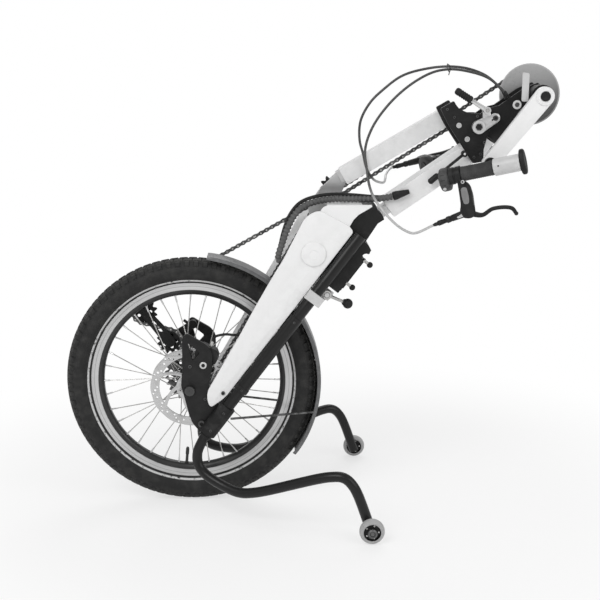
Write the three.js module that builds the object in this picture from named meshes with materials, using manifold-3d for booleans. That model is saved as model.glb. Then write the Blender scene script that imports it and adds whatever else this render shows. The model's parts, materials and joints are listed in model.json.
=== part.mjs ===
// A hand-cranked front drive wheel for a wheelchair: a folding mast with two hand grips over a chain-driven
// wheel.
// Side view: X runs to the rear, Z up. The near side is the -Y side. Millimetres.
// Places are measured from the floor point under the wheel's axle, and the last lines move the origin.
import * as THREE from "three";
import { mergeVertices } from "three/addons/utils/BufferGeometryUtils.js";
import Module from "manifold-3d";

const wasm = await Module();
wasm.setup();

const gap = 0.3; // between pieces that touch
const overrun = 5; // how far a cutter passes the faces that it cuts
const weld = 0.0005; // vertices nearer than this are one

const V2 = (x, y) => new THREE.Vector2(x, y);
const V3 = (x, y, z) => new THREE.Vector3(x, y, z);
const radians = THREE.MathUtils.degToRad;
const turn = 2 * Math.PI;
const NEAR = -1;
const FAR = 1;

// Solids: joins and cuts of closed geometries.
function solid(geometry) {
  const bare = geometry.index ? geometry.toNonIndexed() : geometry.clone();
  bare.deleteAttribute("normal");
  bare.deleteAttribute("uv");
  const merged = mergeVertices(bare, weld);
  const corners = merged.index.array;
  const kept = [];
  for (let i = 0; i < corners.length; i += 3) {
    const [a, b, c] = corners.slice(i, i + 3);
    if (a !== b && b !== c && c !== a) kept.push(a, b, c);
  }
  const vertProperties = merged.attributes.position.array;
  return new wasm.Manifold(new wasm.Mesh({ numProp: 3, vertProperties, triVerts: new Uint32Array(kept) }));
}

const asSolid = (shape) => (shape.isBufferGeometry ? solid(shape) : shape);
const join = (...shapes) => shapes.map(asSolid).reduce((a, b) => a.add(b));
const cut = (shape, ...tools) => tools.map(asSolid).reduce((a, b) => a.subtract(b), asSolid(shape));

function geometryOf(shape) {
  if (shape.isBufferGeometry) return shape;
  const mesh = shape.getMesh();
  const places = new Float32Array(mesh.numVert * 3);
  for (let i = 0; i < mesh.numVert; i++) {
    const from = i * mesh.numProp;
    places.set(mesh.vertProperties.subarray(from, from + 3), i * 3);
  }
  const indexed = new THREE.BufferGeometry().setIndex(new THREE.BufferAttribute(mesh.triVerts, 1));
  indexed.setAttribute("position", new THREE.BufferAttribute(places, 3));
  const flat = indexed.toNonIndexed();
  flat.computeVertexNormals();
  return flat;
}

// Basic shapes. y0 is less than y1 in all of them.
function plate(outline, y0, y1, holes = []) {
  const shape = new THREE.Shape(THREE.ShapeUtils.isClockWise(outline) ? [...outline].reverse() : outline);
  shape.holes = holes.map((hole) => new THREE.Path(hole));
  const made = new THREE.ExtrudeGeometry(shape, { depth: y1 - y0, bevelEnabled: false });
  return made.rotateX(turn / 4).translate(0, y1, 0);
}

const box = (x0, x1, y0, y1, z0, z1) =>
  new THREE.BoxGeometry(x1 - x0, y1 - y0, z1 - z0).translate((x0 + x1) / 2, (y0 + y1) / 2, (z0 + z1) / 2);

const pin = (radius, y0, y1, x = 0, z = 0, sides = 20) =>
  new THREE.CylinderGeometry(radius, radius, y1 - y0, sides).translate(x, (y0 + y1) / 2, z);

// A turned piece about Y. The profile's points are [radius, y], counted so that the material lies on their
// left.
function turned(profile, sides) {
  const area = profile.reduce((sum, [r, y], i) => {
    const [nextR, nextY] = profile[(i + 1) % profile.length];
    return sum + r * nextY - nextR * y;
  }, 0);
  const ordered = area > 0 ? profile : [...profile].reverse();
  const points = ordered.map(([r, y]) => V2(r, y));
  if (points[0].x > 0 || points.at(-1).x > 0) points.push(points[0].clone());
  return new THREE.LatheGeometry(points, sides);
}

function turnedAlong(profile, from, to, sides) {
  const direction = to.clone().sub(from).normalize();
  const aim = new THREE.Quaternion().setFromUnitVectors(V3(0, 1, 0), direction);
  return turned(profile, sides).applyQuaternion(aim).translate(from.x, from.y, from.z);
}

const rod = (from, to, radius, sides = 12) =>
  turnedAlong(
    [[0, 0], [radius, 0], [radius, from.distanceTo(to)], [0, from.distanceTo(to)]], from, to, sides,
  );

function ball(radius, x, y, z, sides = 12) {
  return new THREE.SphereGeometry(radius, sides, sides / 2).translate(x, y, z);
}

// A round tube through the points, as one swept solid.
function tube(points, radius, sides, steps) {
  const ring = new THREE.Shape(circle(radius, sides));
  const extrudePath = new THREE.CatmullRomCurve3(points, false, "centripetal");
  return new THREE.ExtrudeGeometry(ring, { steps, extrudePath, bevelEnabled: false });
}

// Outlines in side view.
const circle = (radius, sides, x = 0, z = 0, start = 0) =>
  Array.from({ length: sides }, (_, i) => {
    const angle = start + (turn * i) / sides;
    return V2(x + radius * Math.cos(angle), z + radius * Math.sin(angle));
  });

const arc = (radius, from, to, steps) =>
  Array.from({ length: steps + 1 }, (_, i) => {
    const angle = from + ((to - from) * i) / steps;
    return V2(radius * Math.cos(angle), radius * Math.sin(angle));
  });

const scaled = (shares, length, height) => shares.map(([u, v]) => V2(u * length, v * height));

// A stadium-shaped outline round two circles of different radius.
function strap(x0, z0, r0, x1, z1, r1, steps = 7) {
  const heading = Math.atan2(z1 - z0, x1 - x0);
  const lean = Math.acos((r0 - r1) / Math.hypot(x1 - x0, z1 - z0));
  const end = (x, z, r, from, to) => arc(r, from, to, steps).map((p) => p.add(V2(x, z)));
  return [
    ...end(x1, z1, r1, heading - lean, heading + lean),
    ...end(x0, z0, r0, heading + lean, heading - lean + turn),
  ];
}

// Cuts the corners of an outline back and rounds them.
function rounded(outline, radius, steps = 1) {
  return outline.flatMap((corner, i) => {
    const before = outline.at(i - 1).clone().sub(corner);
    const after = outline[(i + 1) % outline.length].clone().sub(corner);
    const reach = Math.min(radius, before.length() / 3, after.length() / 3);
    const start = corner.clone().addScaledVector(before.normalize(), reach);
    const end = corner.clone().addScaledVector(after.normalize(), reach);
    return new THREE.QuadraticBezierCurve(start, corner, end).getPoints(steps);
  });
}

const rectangle = (x0, x1, z0, z1, corner) => rounded(
  [V2(x0, z0), V2(x1, z0), V2(x1, z1), V2(x0, z1)], corner,
);

// The scene graph. A group remembers where its own origin lies, so that its pieces are placed by the same
// coordinates.
const handcycle = new THREE.Group();
handcycle.userData.home = V3(0, 0, 0);

function assembly(parent, x, y, z) {
  const group = new THREE.Group();
  group.userData.home = V3(x, y, z);
  group.position.copy(group.userData.home).sub(parent.userData.home);
  parent.add(group);
  return group;
}

const finish = (color, roughness, metalness) => ({ color, roughness, metalness });
const white = finish(0xf2f2f0, 0.35, 0.1);
const black = finish(0x1c1c1e, 0.5, 0.2);
const blackPlastic = finish(0x202022, 0.6, 0);
const rubber = finish(0x2a2a2b, 0.85, 0);
const silver = finish(0xc4c6c8, 0.3, 0.9);
const steel = finish(0x8c8e90, 0.35, 0.9);
const paleGrip = finish(0xc9cacb, 0.6, 0);
const smoke = finish(0x9a9b9d, 0.25, 0);
const greyPlastic = finish(0x8d8f92, 0.45, 0);

// Sets a piece at a place, tilted in side view by an angle that lifts its +X end.
function piece(name, shape, look, parent, x = 0, y = 0, z = 0, tilt = 0) {
  const mesh = new THREE.Mesh(geometryOf(shape), new THREE.MeshStandardMaterial(look));
  mesh.name = name;
  mesh.position.set(x, y, z).sub(parent.userData.home);
  mesh.rotation.y = -tilt;
  parent.add(mesh);
  return mesh;
}

// The wheel and its mudguard, which the rest is set out from.
const wheelRadius = 253;
const axleZ = wheelRadius;
const fenderClear = 5.5; // over the tyre
const fenderInner = wheelRadius + fenderClear;
const fenderThick = 2.5;

// The rails' line: a point of their axis and their slope. Along and out are lengths on it and square to it.
const railX = 96;
const railDrop = 4; // below the axle
const railZ = axleZ - railDrop;
const railTilt = radians(52.7);
const onRail = (along, out = 0) => V2(along, out).rotateAround(V2(0, 0), railTilt).add(V2(railX, railZ));
const localToRail = (x, z) => V2(x - railX, z - railZ).rotateAround(V2(0, 0), -railTilt);

// A bridge joins the fork's plates just clear of the mudguard, and all above it is placed from it along the rails.
const bridgeOut = 30;
const bridgeRadius = 12;
const bridgeClear = 1.366;
const bridgeReach = fenderInner + fenderThick + bridgeClear + bridgeRadius; // from the axle
const axleOnRail = localToRail(0, axleZ);
const bridgeAlong = axleOnRail.x + Math.sqrt(bridgeReach ** 2 - (bridgeOut - axleOnRail.y) ** 2);

// Driving places: the fold pivot, the tilt pivot and the crank axle, in side view.
const foldFromBridge = V2(93.392, 50.136);
const fold = onRail(bridgeAlong + foldFromBridge.x, foldFromBridge.y);
const foldX = fold.x;
const foldZ = fold.y;
const tiltFromFold = V2(315.8, 238.6);
const tiltX = foldX + tiltFromFold.x;
const tiltZ = foldZ + tiltFromFold.y;
const crankFromTilt = V2(114.2, 58.7);
const crankX = tiltX + crankFromTilt.x;
const crankZ = tiltZ + crankFromTilt.y;

// Widths across the wheel, from its middle plane.
const hubHalf = 67.7; // to the hub's end faces
const dropoutIn = hubHalf + gap;
const dropoutThick = 7;
const dropoutOut = dropoutIn + dropoutThick;
const forkThick = 6;
const forkIn = dropoutOut + gap;
const forkOut = forkIn + forkThick;
const railY = (forkIn + forkOut) / 2;
const chainY = 45;

// The rails: a thick socket between slimmer ends, with a collar at its foot.
const upperRailRadius = 12;
const lowerRailRadius = 12;
const socketRadius = 13.5;
const dockBeyondBridge = 170;
const dockTo = bridgeAlong + dockBeyondBridge; // the dock box's top face
const railBeyondDock = 6;
const railTop = dockTo + railBeyondDock;
const railBottom = -108;
const socketBelowBridge = 25;
const socketTop = bridgeAlong - socketBelowBridge;
const socketBottom = 5;
const collarRadius = 15;
const collarLength = 10;

// The wheel.
const tyreRadius = 25; // of the tyre's section
const tyreWall = 4;
const rimRadius = wheelRadius - 2 * tyreRadius;
const rimDepth = 25;
const rimInner = rimRadius - rimDepth;
const rimHalf = 12.8;
const wheelSides = 32;

function makeTyre() {
  const centre = wheelRadius - tyreRadius;
  const bead = rimRadius + gap;
  const beadOutShare = 0.53;
  const outer = arc(tyreRadius, radians(-118), radians(118), 4).map((p) => [centre + p.x, p.y]);
  const inner = arc(tyreRadius - tyreWall, radians(112), radians(-112), 2).map((p) => [centre + p.x, p.y]);
  const beadOut = tyreRadius * beadOutShare;
  const beadIn = beadOut - tyreWall;
  return turned(
    [[bead, -beadOut], ...outer, [bead, beadOut], [bead, beadIn], ...inner, [bead, -beadIn]], wheelSides,
  );
}

function makeRim() {
  const shoulder = 6;
  const wellDepth = 11;
  const crownHalf = 5;
  const sideHalf = 10.8;
  const half = [[rimInner, crownHalf], [rimInner + shoulder, sideHalf], [rimRadius, rimHalf]];
  const profile = [...half, [rimRadius - wellDepth, 0], ...half.map(([r, y]) => [r, -y]).reverse()];
  const valveRadius = 3;
  const valveLength = 34;
  const valveTurn = radians(-95);
  const foot = V3(Math.cos(valveTurn), 0, Math.sin(valveTurn)).multiplyScalar(rimInner + shoulder);
  const tip = foot.clone().setLength(rimInner - valveLength);
  return join(turned(profile, wheelSides), rod(foot, tip, valveRadius, 6));
}

// The hub with its spokes, which cross each other on the way to the rim.
const hubBore = 5.4;
const hubBodyRadius = 15;
const flangeRadius = 29;
const flangeThick = 4;
const nearFlangeY = -40;
const farFlangeY = 29;
const rotorY = -51.8;
const rotorThick = 1.9;
const rotorBoss = 17.7;
const hubNearEnd = -62;
const hubFarEnd = 33;

function makeHubAndSpokes() {
  const half = flangeThick / 2;
  const rotorSeat = rotorY + rotorThick / 2 + gap;
  const bossEnd = rotorY - rotorThick;
  const endRadius = 9;
  const profile = [
    [hubBore, hubNearEnd], [endRadius, hubNearEnd], [rotorBoss, bossEnd], [rotorBoss, rotorSeat],
    [flangeRadius - flangeThick, rotorSeat], [flangeRadius - flangeThick, nearFlangeY - half],
    [flangeRadius, nearFlangeY - half], [flangeRadius, nearFlangeY + half],
    [hubBodyRadius, nearFlangeY + 3 * half], [hubBodyRadius, farFlangeY - 3 * half],
    [flangeRadius, farFlangeY - half], [flangeRadius, farFlangeY + half],
    [hubBodyRadius, farFlangeY + half], [hubBodyRadius, hubFarEnd], [hubBore, hubFarEnd],
  ];
  const spokes = 36;
  const spokeRadius = 1.3;
  const holeRadius = flangeRadius - flangeThick;
  const rimY = 3;
  const end = rimInner * Math.cos(Math.PI / wheelSides) - spokeRadius;
  const crossing = 2 * (2 * turn / spokes);
  const made = [];
  for (let i = 0; i < spokes; i++) {
    const side = i % 2 ? FAR : NEAR;
    const trailing = Math.floor(i / 2) % 2;
    const lean = trailing ? crossing : -crossing;
    const hole = (turn * i) / spokes;
    const flangeY = (i % 2 ? farFlangeY : nearFlangeY) + (trailing ? half : -half);
    const from = V3(holeRadius * Math.cos(hole), flangeY, holeRadius * Math.sin(hole));
    const to = V3(end * Math.cos(hole + lean), side * rimY, end * Math.sin(hole + lean));
    made.push(rod(from, to, spokeRadius, 3));
  }
  return join(turned(profile, 14), ...made);
}

const rotorRadius = 80;

function makeRotor() {
  const outer = rotorRadius;
  const bandInner = 63;
  const hubOuter = 27;
  const arms = 6;
  const armHalf = 4.5;
  const sweep = radians(38);
  const holeRadius = 2.6;
  const holes = 12;
  const y0 = rotorY - rotorThick / 2;
  const y1 = rotorY + rotorThick / 2;
  const band = plate(circle(outer, 30), y0, y1, [circle(bandInner, 20)]);
  const centre = plate(
    circle(hubOuter, 14), y0, y1, [circle((rotorBoss + gap) / Math.cos(Math.PI / 14), 14)],
  );
  const spider = Array.from({ length: arms }, (_, i) => {
    const a = (turn * i) / arms;
    const from = V2(Math.cos(a), Math.sin(a)).multiplyScalar((rotorBoss + hubOuter) / 2 + armHalf / 2);
    const to = V2(Math.cos(a + sweep), Math.sin(a + sweep)).multiplyScalar(bandInner + armHalf / 2);
    return plate(strap(from.x, from.y, armHalf, to.x, to.y, armHalf, 1), y0, y1);
  });
  const drilled = Array.from({ length: holes }, (_, i) => {
    const r = i % 2 ? bandInner + 2.4 * holeRadius : outer - 2 * holeRadius;
    const a = (turn * i) / holes;
    return pin(holeRadius, y0 - overrun, y1 + overrun, r * Math.cos(a), r * Math.sin(a), 5);
  });
  return cut(join(band, centre, ...spider), ...drilled);
}

// Toothed wheels for the chain. The pitch radius follows from the number of teeth.
const pitch = 12.7;
const toothHeight = 3.2;
const toothDepth = 3.4;
const toothThick = 1.8;
const pitchRadius = (teeth) => pitch / (2 * Math.sin(Math.PI / teeth));

function toothed(teeth, y, bore, width = toothThick) {
  const mid = pitchRadius(teeth);
  const outline = Array.from({ length: teeth }, (_, i) => {
    const at = (share, r) => V2(
      r * Math.cos((turn * (i + share)) / teeth), r * Math.sin((turn * (i + share)) / teeth),
    );
    return [at(0, mid - toothDepth), at(0.5, mid + toothHeight)];
  }).flat();
  return plate(outline, y - width / 2, y + width / 2, [circle(bore, 10)]);
}

const cogTeeth = [28, 18, 13];
const cogSpacing = 6.4;
const chainCog = 1;
const cassetteBore = hubBore;
const freehubRadius = 15;
const cassetteY0 = hubFarEnd + gap;
const cassetteY1 = 61;

function makeCassette() {
  const cogs = cogTeeth.map((teeth, i) => toothed(
    teeth, chainY + (i - chainCog) * cogSpacing, freehubRadius - gap,
  ));
  const lockRing = 18;
  const ringWidth = 3;
  const body = turned([
    [cassetteBore, cassetteY0], [freehubRadius, cassetteY0], [freehubRadius, cassetteY1 - 2 * ringWidth],
    [lockRing, cassetteY1 - 2 * ringWidth], [lockRing, cassetteY1 - ringWidth],
    [freehubRadius - ringWidth, cassetteY1], [cassetteBore, cassetteY1],
  ], 16);
  return join(body, ...cogs);
}

const axleRadius = 5.1;
const slotRadius = 6.3;
const nutRadius = 10;
const nutThick = 8;

function makeAxle() {
  const nutFace = dropoutOut + gap;
  const coneEnd = hubHalf;
  const coneRadius = 8.5;
  const coneLength = 5;
  const shank = slotRadius - gap;
  const half = [
    [0, nutFace + nutThick + 2 * gap], [shank, nutFace + nutThick], [nutRadius, nutFace + nutThick],
    [nutRadius, nutFace], [shank, nutFace], [shank, coneEnd], [coneRadius, coneEnd],
    [coneRadius, coneEnd - coneLength], [axleRadius, coneEnd - coneLength],
  ];
  return turned([...half, ...half.map(([r, y]) => [r, -y]).reverse()], 10);
}

// Frame: fork plates, rails, dropouts.
const forkFoot = -58; // where the plate's foot lies along the rail
const forkBeyondPivot = 83.6;
const forkCorner = 14;
const forkLength = localToRail(foldX, foldZ).x - forkFoot + forkBeyondPivot;
const forkWidth = 92;
const forkEdge = collarRadius + gap;
const forkOutlineShares = [
  [0.075, 0], [0.993, 0], [1, 0.153], [0.978, 0.857], [0.919, 0.992], [0.722, 0.817], [0.61, 0.76],
  [0.469, 0.668], [0.338, 0.567], [0.23, 0.498], [0.051, 0.384], [0.018, 0.265], [0, 0.115],
];
const pivotRadius = 10;
const forkBoltAlong = -18.6;
const forkBoltOut = 24;
const forkBoltRadius = 4;
const forkBoltHead = 2.5;

function makeForkPlate(side) {
  const outline = rounded(scaled(forkOutlineShares, forkLength, forkWidth), forkCorner)
    .map((p) => p.add(V2(forkFoot, forkEdge)));
  const pivot = localToRail(foldX, foldZ);
  const y0 = side === NEAR ? -forkOut : forkIn;
  const y1 = y0 + forkThick;
  const body = plate(outline, y0, y1, [circle(pivotRadius + gap, 16, pivot.x, pivot.y)]);
  const outFace = side === NEAR ? [y0 - forkBoltHead, y0 + gap] : [y1 - gap, y1 + forkBoltHead];
  return join(body, pin(forkBoltRadius, outFace[0], outFace[1], forkBoltAlong, forkBoltOut, 10));
}

const makeForkBridge = () => pin(bridgeRadius, -forkIn + gap, forkIn - gap, 0, 0, 16);

function makeRail() {
  const profile = [
    [0, railBottom], [lowerRailRadius, railBottom], [lowerRailRadius, socketBottom],
    [collarRadius, socketBottom], [collarRadius, socketBottom + collarLength],
    [socketRadius, socketBottom + collarLength], [socketRadius, socketTop], [upperRailRadius, socketTop],
    [upperRailRadius, railTop], [0, railTop],
  ];
  return turned(profile, 14).rotateZ(-turn / 4);
}

const sleeveRadius = 17;
const sleeveTop = -36;
const sleeveBottom = -104;
// From the axle, as shares of the plate's height.
const dropoutHeight = 115;
const dropoutCorner = 8;
const dropoutWindowCorner = 5;
const dropoutOutlineShares = [
  [-0.15, 0.08], [-0.122, 0.41], [-0.113, 0.94], [-0.026, 1], [0.08, 0.93], [0.3, 0.8], [0.39, 0.68],
  [0.39, 0.41], [0.33, 0.08], [0.33, -0.12], [0.52, -0.3], [0.34, -0.72], [0.16, -0.75], [0.03, -0.59],
  [-0.035, -0.39], [-0.09, -0.15],
];
const dropoutWindowShares = [[-0.03, 0.84], [0.19, 0.66], [0.06, 0.52]];
const hangerShare = [-0.015, 0.89];
const tensionBoltShare = [0.19, -0.6];

function makeDropout(side) {
  const y0 = side === NEAR ? -dropoutOut : dropoutIn;
  const y1 = y0 + dropoutThick;
  const at = ([u, v]) => V2(u * dropoutHeight, v * dropoutHeight);
  const outline = rounded(scaled(dropoutOutlineShares, dropoutHeight, dropoutHeight), dropoutCorner);
  const window = rounded(scaled(dropoutWindowShares, dropoutHeight, dropoutHeight), dropoutWindowCorner);
  const body = plate(outline, y0, y1, [circle(slotRadius, 12), window]);
  const bolt = at(tensionBoltShare);
  const boltRadius = 7;
  const [head0, head1] = side === NEAR ? [y0 - boltRadius / 2, y0 + gap] : [y1 - gap, y1 + boltRadius / 2];
  const boltHead = pin(boltRadius, head0, head1, bolt.x, bolt.y, 12);
  const bottom = onRail(sleeveBottom);
  const top = onRail(sleeveTop);
  const place = (p, beyond = 0) => {
    const along = V2(Math.cos(railTilt), Math.sin(railTilt)).multiplyScalar(beyond);
    return V3(p.x + along.x, side * railY, p.y + along.y - axleZ);
  };
  const sleeve = rod(place(bottom), place(top), sleeveRadius, 14);
  const bore = rod(place(bottom, -overrun), place(top, overrun), lowerRailRadius + gap, 14);
  return cut(join(body, boltHead, sleeve), bore);
}

const frame = assembly(handcycle, 0, 0, 0);
piece("fork_plate_near", makeForkPlate(NEAR), white, frame, railX, 0, railZ, railTilt);
piece("fork_plate_far", makeForkPlate(FAR), white, frame, railX, 0, railZ, railTilt);
const bridgePlace = onRail(bridgeAlong, bridgeOut);
piece("fork_bridge", makeForkBridge(), black, frame, bridgePlace.x, 0, bridgePlace.y);
piece("rail_near", makeRail(), black, frame, railX, NEAR * railY, railZ, railTilt);
piece("rail_far", makeRail(), black, frame, railX, FAR * railY, railZ, railTilt);
piece("dropout_near", makeDropout(NEAR), black, frame, 0, 0, axleZ);
piece("dropout_far", makeDropout(FAR), black, frame, 0, 0, axleZ);
piece("wheel_axle", makeAxle(), steel, frame, 0, 0, axleZ);

const wheel = assembly(handcycle, 0, 0, axleZ);
piece("tyre", makeTyre(), rubber, wheel, 0, 0, axleZ);
piece("rim", makeRim(), silver, wheel, 0, 0, axleZ);
piece("hub_and_spokes", makeHubAndSpokes(), steel, wheel, 0, 0, axleZ);
piece("brake_rotor", makeRotor(), steel, wheel, 0, 0, axleZ);
piece("cassette", makeCassette(), steel, assembly(handcycle, 0, 0, axleZ), 0, 0, axleZ);

// The brake caliper, seated inside the near dropout and open round the rotor's edge.
const caliperOverlap = 3; // how far the caliper's middle lies inside the rotor's edge
const caliperRadius = rotorRadius - caliperOverlap;
const caliperTurn = radians(64);
const caliperDepth = 34;
const caliperHoseY = -56;

function makeCaliper() {
  const bodyLength = 46;
  const inner = -43;
  const slotHalf = 3;
  const pistonRadius = 10;
  const pistonReach = 2.5;
  const body = plate(
    rectangle(-bodyLength / 2, bodyLength / 2, -caliperDepth / 2, caliperDepth / 2, caliperDepth / 4),
    -hubHalf, inner,
  );
  const slot = box(
    -bodyLength, bodyLength, rotorY - slotHalf, rotorY + slotHalf, -caliperDepth, caliperDepth / 5,
  );
  const cap = pin(pistonRadius, inner - gap, inner + pistonReach, 0, -caliperDepth / 10, 16);
  const turnIn = caliperTurn - turn / 4;
  const made = join(cut(body, slot), cap);
  const place = V2(Math.cos(caliperTurn), Math.sin(caliperTurn)).multiplyScalar(caliperRadius);
  return { made, x: place.x, z: axleZ + place.y, tilt: turnIn };
}
const caliper = makeCaliper();
piece("caliper", caliper.made, black, frame, caliper.x, 0, caliper.z, caliper.tilt);

// The mudguard: a crown with turned-down sides, and a stay to each dropout.
const fenderHalf = 27;
const fenderSkirt = 8;
const fenderFrom = radians(-36.6);
const fenderTo = radians(82.2);
const stayRadius = 2.5;

function makeFender() {
  const steps = 12;
  const outer = fenderInner + fenderThick;
  const sector = (r0, r1) => [
    ...arc(r1, fenderFrom, fenderTo, steps), ...arc(r0, fenderTo, fenderFrom, steps),
  ];
  const crown = plate(sector(fenderInner, outer), -fenderHalf, fenderHalf);
  const sides = [NEAR, FAR].map((side) => {
    const inner = side * (fenderHalf - fenderThick);
    const [y0, y1] = [inner, side * fenderHalf].sort((a, b) => a - b);
    return plate(sector(outer - fenderSkirt, outer), y0, y1);
  });
  const stayTurn = radians(-14);
  const root = V3(fenderInner * Math.cos(stayTurn), 0, fenderInner * Math.sin(stayTurn));
  const stays = [NEAR, FAR].map((side) => {
    const foot = onRail(sleeveTop - sleeveRadius, -sleeveRadius - stayRadius - gap);
    const from = V3(foot.x, side * railY, foot.y - axleZ);
    const to = V3(root.x - fenderSkirt / 2, side * (fenderHalf - stayRadius / 2), root.z);
    return rod(from, to, stayRadius, 6);
  });
  const bridge = onRail(bridgeAlong, bridgeOut).sub(V2(0, axleZ));
  const padHalf = 6;
  const pad = box(
    fenderInner + fenderThick / 2, bridge.length() - bridgeRadius - gap, -fenderHalf / 2, fenderHalf / 2,
    -padHalf, padHalf,
  )
    .rotateY(-bridge.angle());
  return join(crown, ...sides, ...stays, pad);
}
piece("fender", makeFender(), greyPlastic, frame, 0, 0, axleZ);

// The stand: a bent tube on each side from the rail's foot out to a caster.
const standRadius = 10;
const casterX = 348;
const casterRadius = 24;
const casterHalf = 11;
const casterY = 236.5;
const casterBore = 4.5;
const casterLegY = casterY - casterHalf - gap - standRadius;
// X from the floor point, how far out of the rail, and Z as a share of the height of the rail's foot.
const standRoute = [
  [24, 0, 0.932], [13, 0, 0.7726], [14, 3, 0.6316], [27, 10, 0.5212], [60, 28, 0.417], [96, 50, 0.3679],
  [128, 66, 0.4047], [270, 124, 0.7297], [296, 132, 0.7358], [314, 136, 0.6377], [347, 137, 0.1226],
];

function makeStand(side) {
  const foot = onRail(railBottom);
  const route = standRoute.map(([x, out, share]) => V3(x, side * Math.min(railY + out, casterLegY), share * foot.y));
  const below = (length) => V3(
    foot.x - length * Math.cos(railTilt), side * railY, foot.y - length * Math.sin(railTilt),
  );
  const leg = tube([below(gap), below(standRadius / 2), ...route], standRadius, 8, 20);
  const axleEnd = side * (casterY + casterHalf + gap);
  const [y0, y1] = [side * casterLegY, axleEnd + side * casterBore].sort((a, b) => a - b);
  const [h0, h1] = [axleEnd, axleEnd + side * casterBore].sort((a, b) => a - b);
  const stub = pin(casterBore - gap, y0, y1, casterX, casterRadius, 12);
  const head = pin(2 * casterBore, h0, h1, casterX, casterRadius, 12);
  return join(leg, stub, head);
}
piece("stand_near", makeStand(NEAR), black, frame);
piece("stand_far", makeStand(FAR), black, frame);

function makeCaster() {
  const hub = 9;
  const web = 4;
  const rimIn = 17;
  const shoulder = 3;
  const half = [
    [casterBore, casterHalf], [hub, casterHalf], [hub, web], [rimIn, casterHalf - shoulder / 2],
    [casterRadius, casterHalf - 2 * shoulder],
  ];
  return turned([...half, ...half.map(([r, y]) => [r, -y]).reverse()], 16);
}
for (const [name, side] of [["caster_near", NEAR], ["caster_far", FAR]]) {
  const axle = assembly(handcycle, casterX, side * casterY, casterRadius);
  piece(name, makeCaster(), rubber, axle, casterX, side * casterY, casterRadius);
}

// The dock box between the rails takes the chair's adapter and lets the mast's foot rest on it.
const clampClear = 5;
const clampWidth = 20;
const clampFrom = bridgeAlong + bridgeRadius + clampClear;
const clampTo = clampFrom + clampWidth;
const leverRoom = 22;
const dockFrom = clampTo + leverRoom;
const dockFront = 12;
const dockRear = -41;
const dockHalf = railY - upperRailRadius - gap;
const jawDrop = 23;
const jawAlong = dockTo - jawDrop;
const jawRadius = 8;
const dockCorner = 5;

function makeDockBox() {
  const corners = [
    V2(dockFrom, dockRear), V2(dockTo - jawRadius, dockRear), V2(dockTo, dockRear + 2 * jawRadius),
    V2(dockTo, dockFront), V2(dockFrom, dockFront),
  ];
  const outline = rounded(corners, dockCorner);
  const jaw = pin(jawRadius, -dockHalf - overrun, dockHalf + overrun, jawAlong, dockRear + jawRadius / 2, 16);
  const rebateEnd = knobY + slideKnobRadius + gap;
  const rebate = box(
    dockFrom - overrun, dockTo + overrun, -dockHalf - overrun, rebateEnd, dockRear - overrun,
    dockRear + slideThick + 2 * gap,
  );
  return cut(plate(outline, -dockHalf, dockHalf), jaw, rebate);
}

// A silver cross bar clamped to both rails below the box carries the dock's lever.
const leverFromClamp = V2(4.582, -23.275);
const lever = onRail(clampTo + leverFromClamp.x, leverFromClamp.y);
const leverX = lever.x;
const leverZ = lever.y;
const leverPinRadius = 5;
const leverHalf = 5;
const knobY = -52;
const slideKnobRadius = 6;
const slideThick = 4;

function makeRailClamp() {
  const block = 7;
  const ears = [NEAR, FAR].map((side) => {
    const half = upperRailRadius + block;
    const middle = side * railY;
    return box(clampFrom, clampTo, middle - half, middle + half, -half, forkEdge - gap);
  });
  const bar = box(clampFrom, clampTo, -railY, railY, -block, block);
  const hinge = localToRail(leverX, leverZ);
  const lugIn = knobY + leverHalf + gap;
  const lugHalf = 2 * leverPinRadius;
  const lug = box(
    hinge.x - lugHalf, hinge.x + lugHalf, lugIn, lugIn + block, hinge.y - lugHalf, -block + gap,
  );
  const neck = box(clampTo - block, hinge.x, lugIn, lugIn + block, hinge.y - leverPinRadius, block);
  const hingePin = pin(leverPinRadius, knobY - leverHalf - gap, lugIn + gap, hinge.x, hinge.y, 14);
  const bores = [NEAR, FAR].map((side) =>
    pin(
      upperRailRadius + gap, clampFrom - overrun, clampTo + overrun, 0, 0, 14,
    ).rotateZ(-turn / 4).translate(0, side * railY, 0));
  return cut(join(bar, ...ears, lug, neck, hingePin), ...bores);
}
piece("dock_box", makeDockBox(), black, frame, railX, 0, railZ, railTilt);
piece("rail_clamp", makeRailClamp(), silver, frame, railX, 0, railZ, railTilt);

// A slide with two ball knobs runs in a rebate along the near edge of the box's rear face.
const slideInset = 12;
const topSlideInset = 27;
const slideStart = dockFrom + slideInset;
const slideEnd = dockTo - topSlideInset;
const slideHalf = 4;
const knobInset = 12;
const topKnobInset = 4;

function makeDockSlide() {
  const stemRadius = 3;
  const knobOut = 13;
  const floor = dockRear + slideThick + gap;
  const bar = box(slideStart, slideEnd, knobY - slideHalf, knobY + slideHalf, floor - slideThick, floor);
  const knobs = [slideStart + knobInset, slideEnd - topKnobInset].map((along) => {
    const end = V3(along, knobY, dockRear - knobOut);
    const root = V3(along, knobY, floor - slideThick / 2);
    return join(rod(root, end, stemRadius, 8), ball(slideKnobRadius, end.x, end.y, end.z, 10));
  });
  return join(bar, ...knobs);
}
piece("dock_slide", makeDockSlide(), black, assembly(handcycle, railX, 0, railZ), railX, 0, railZ, railTilt);

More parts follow.
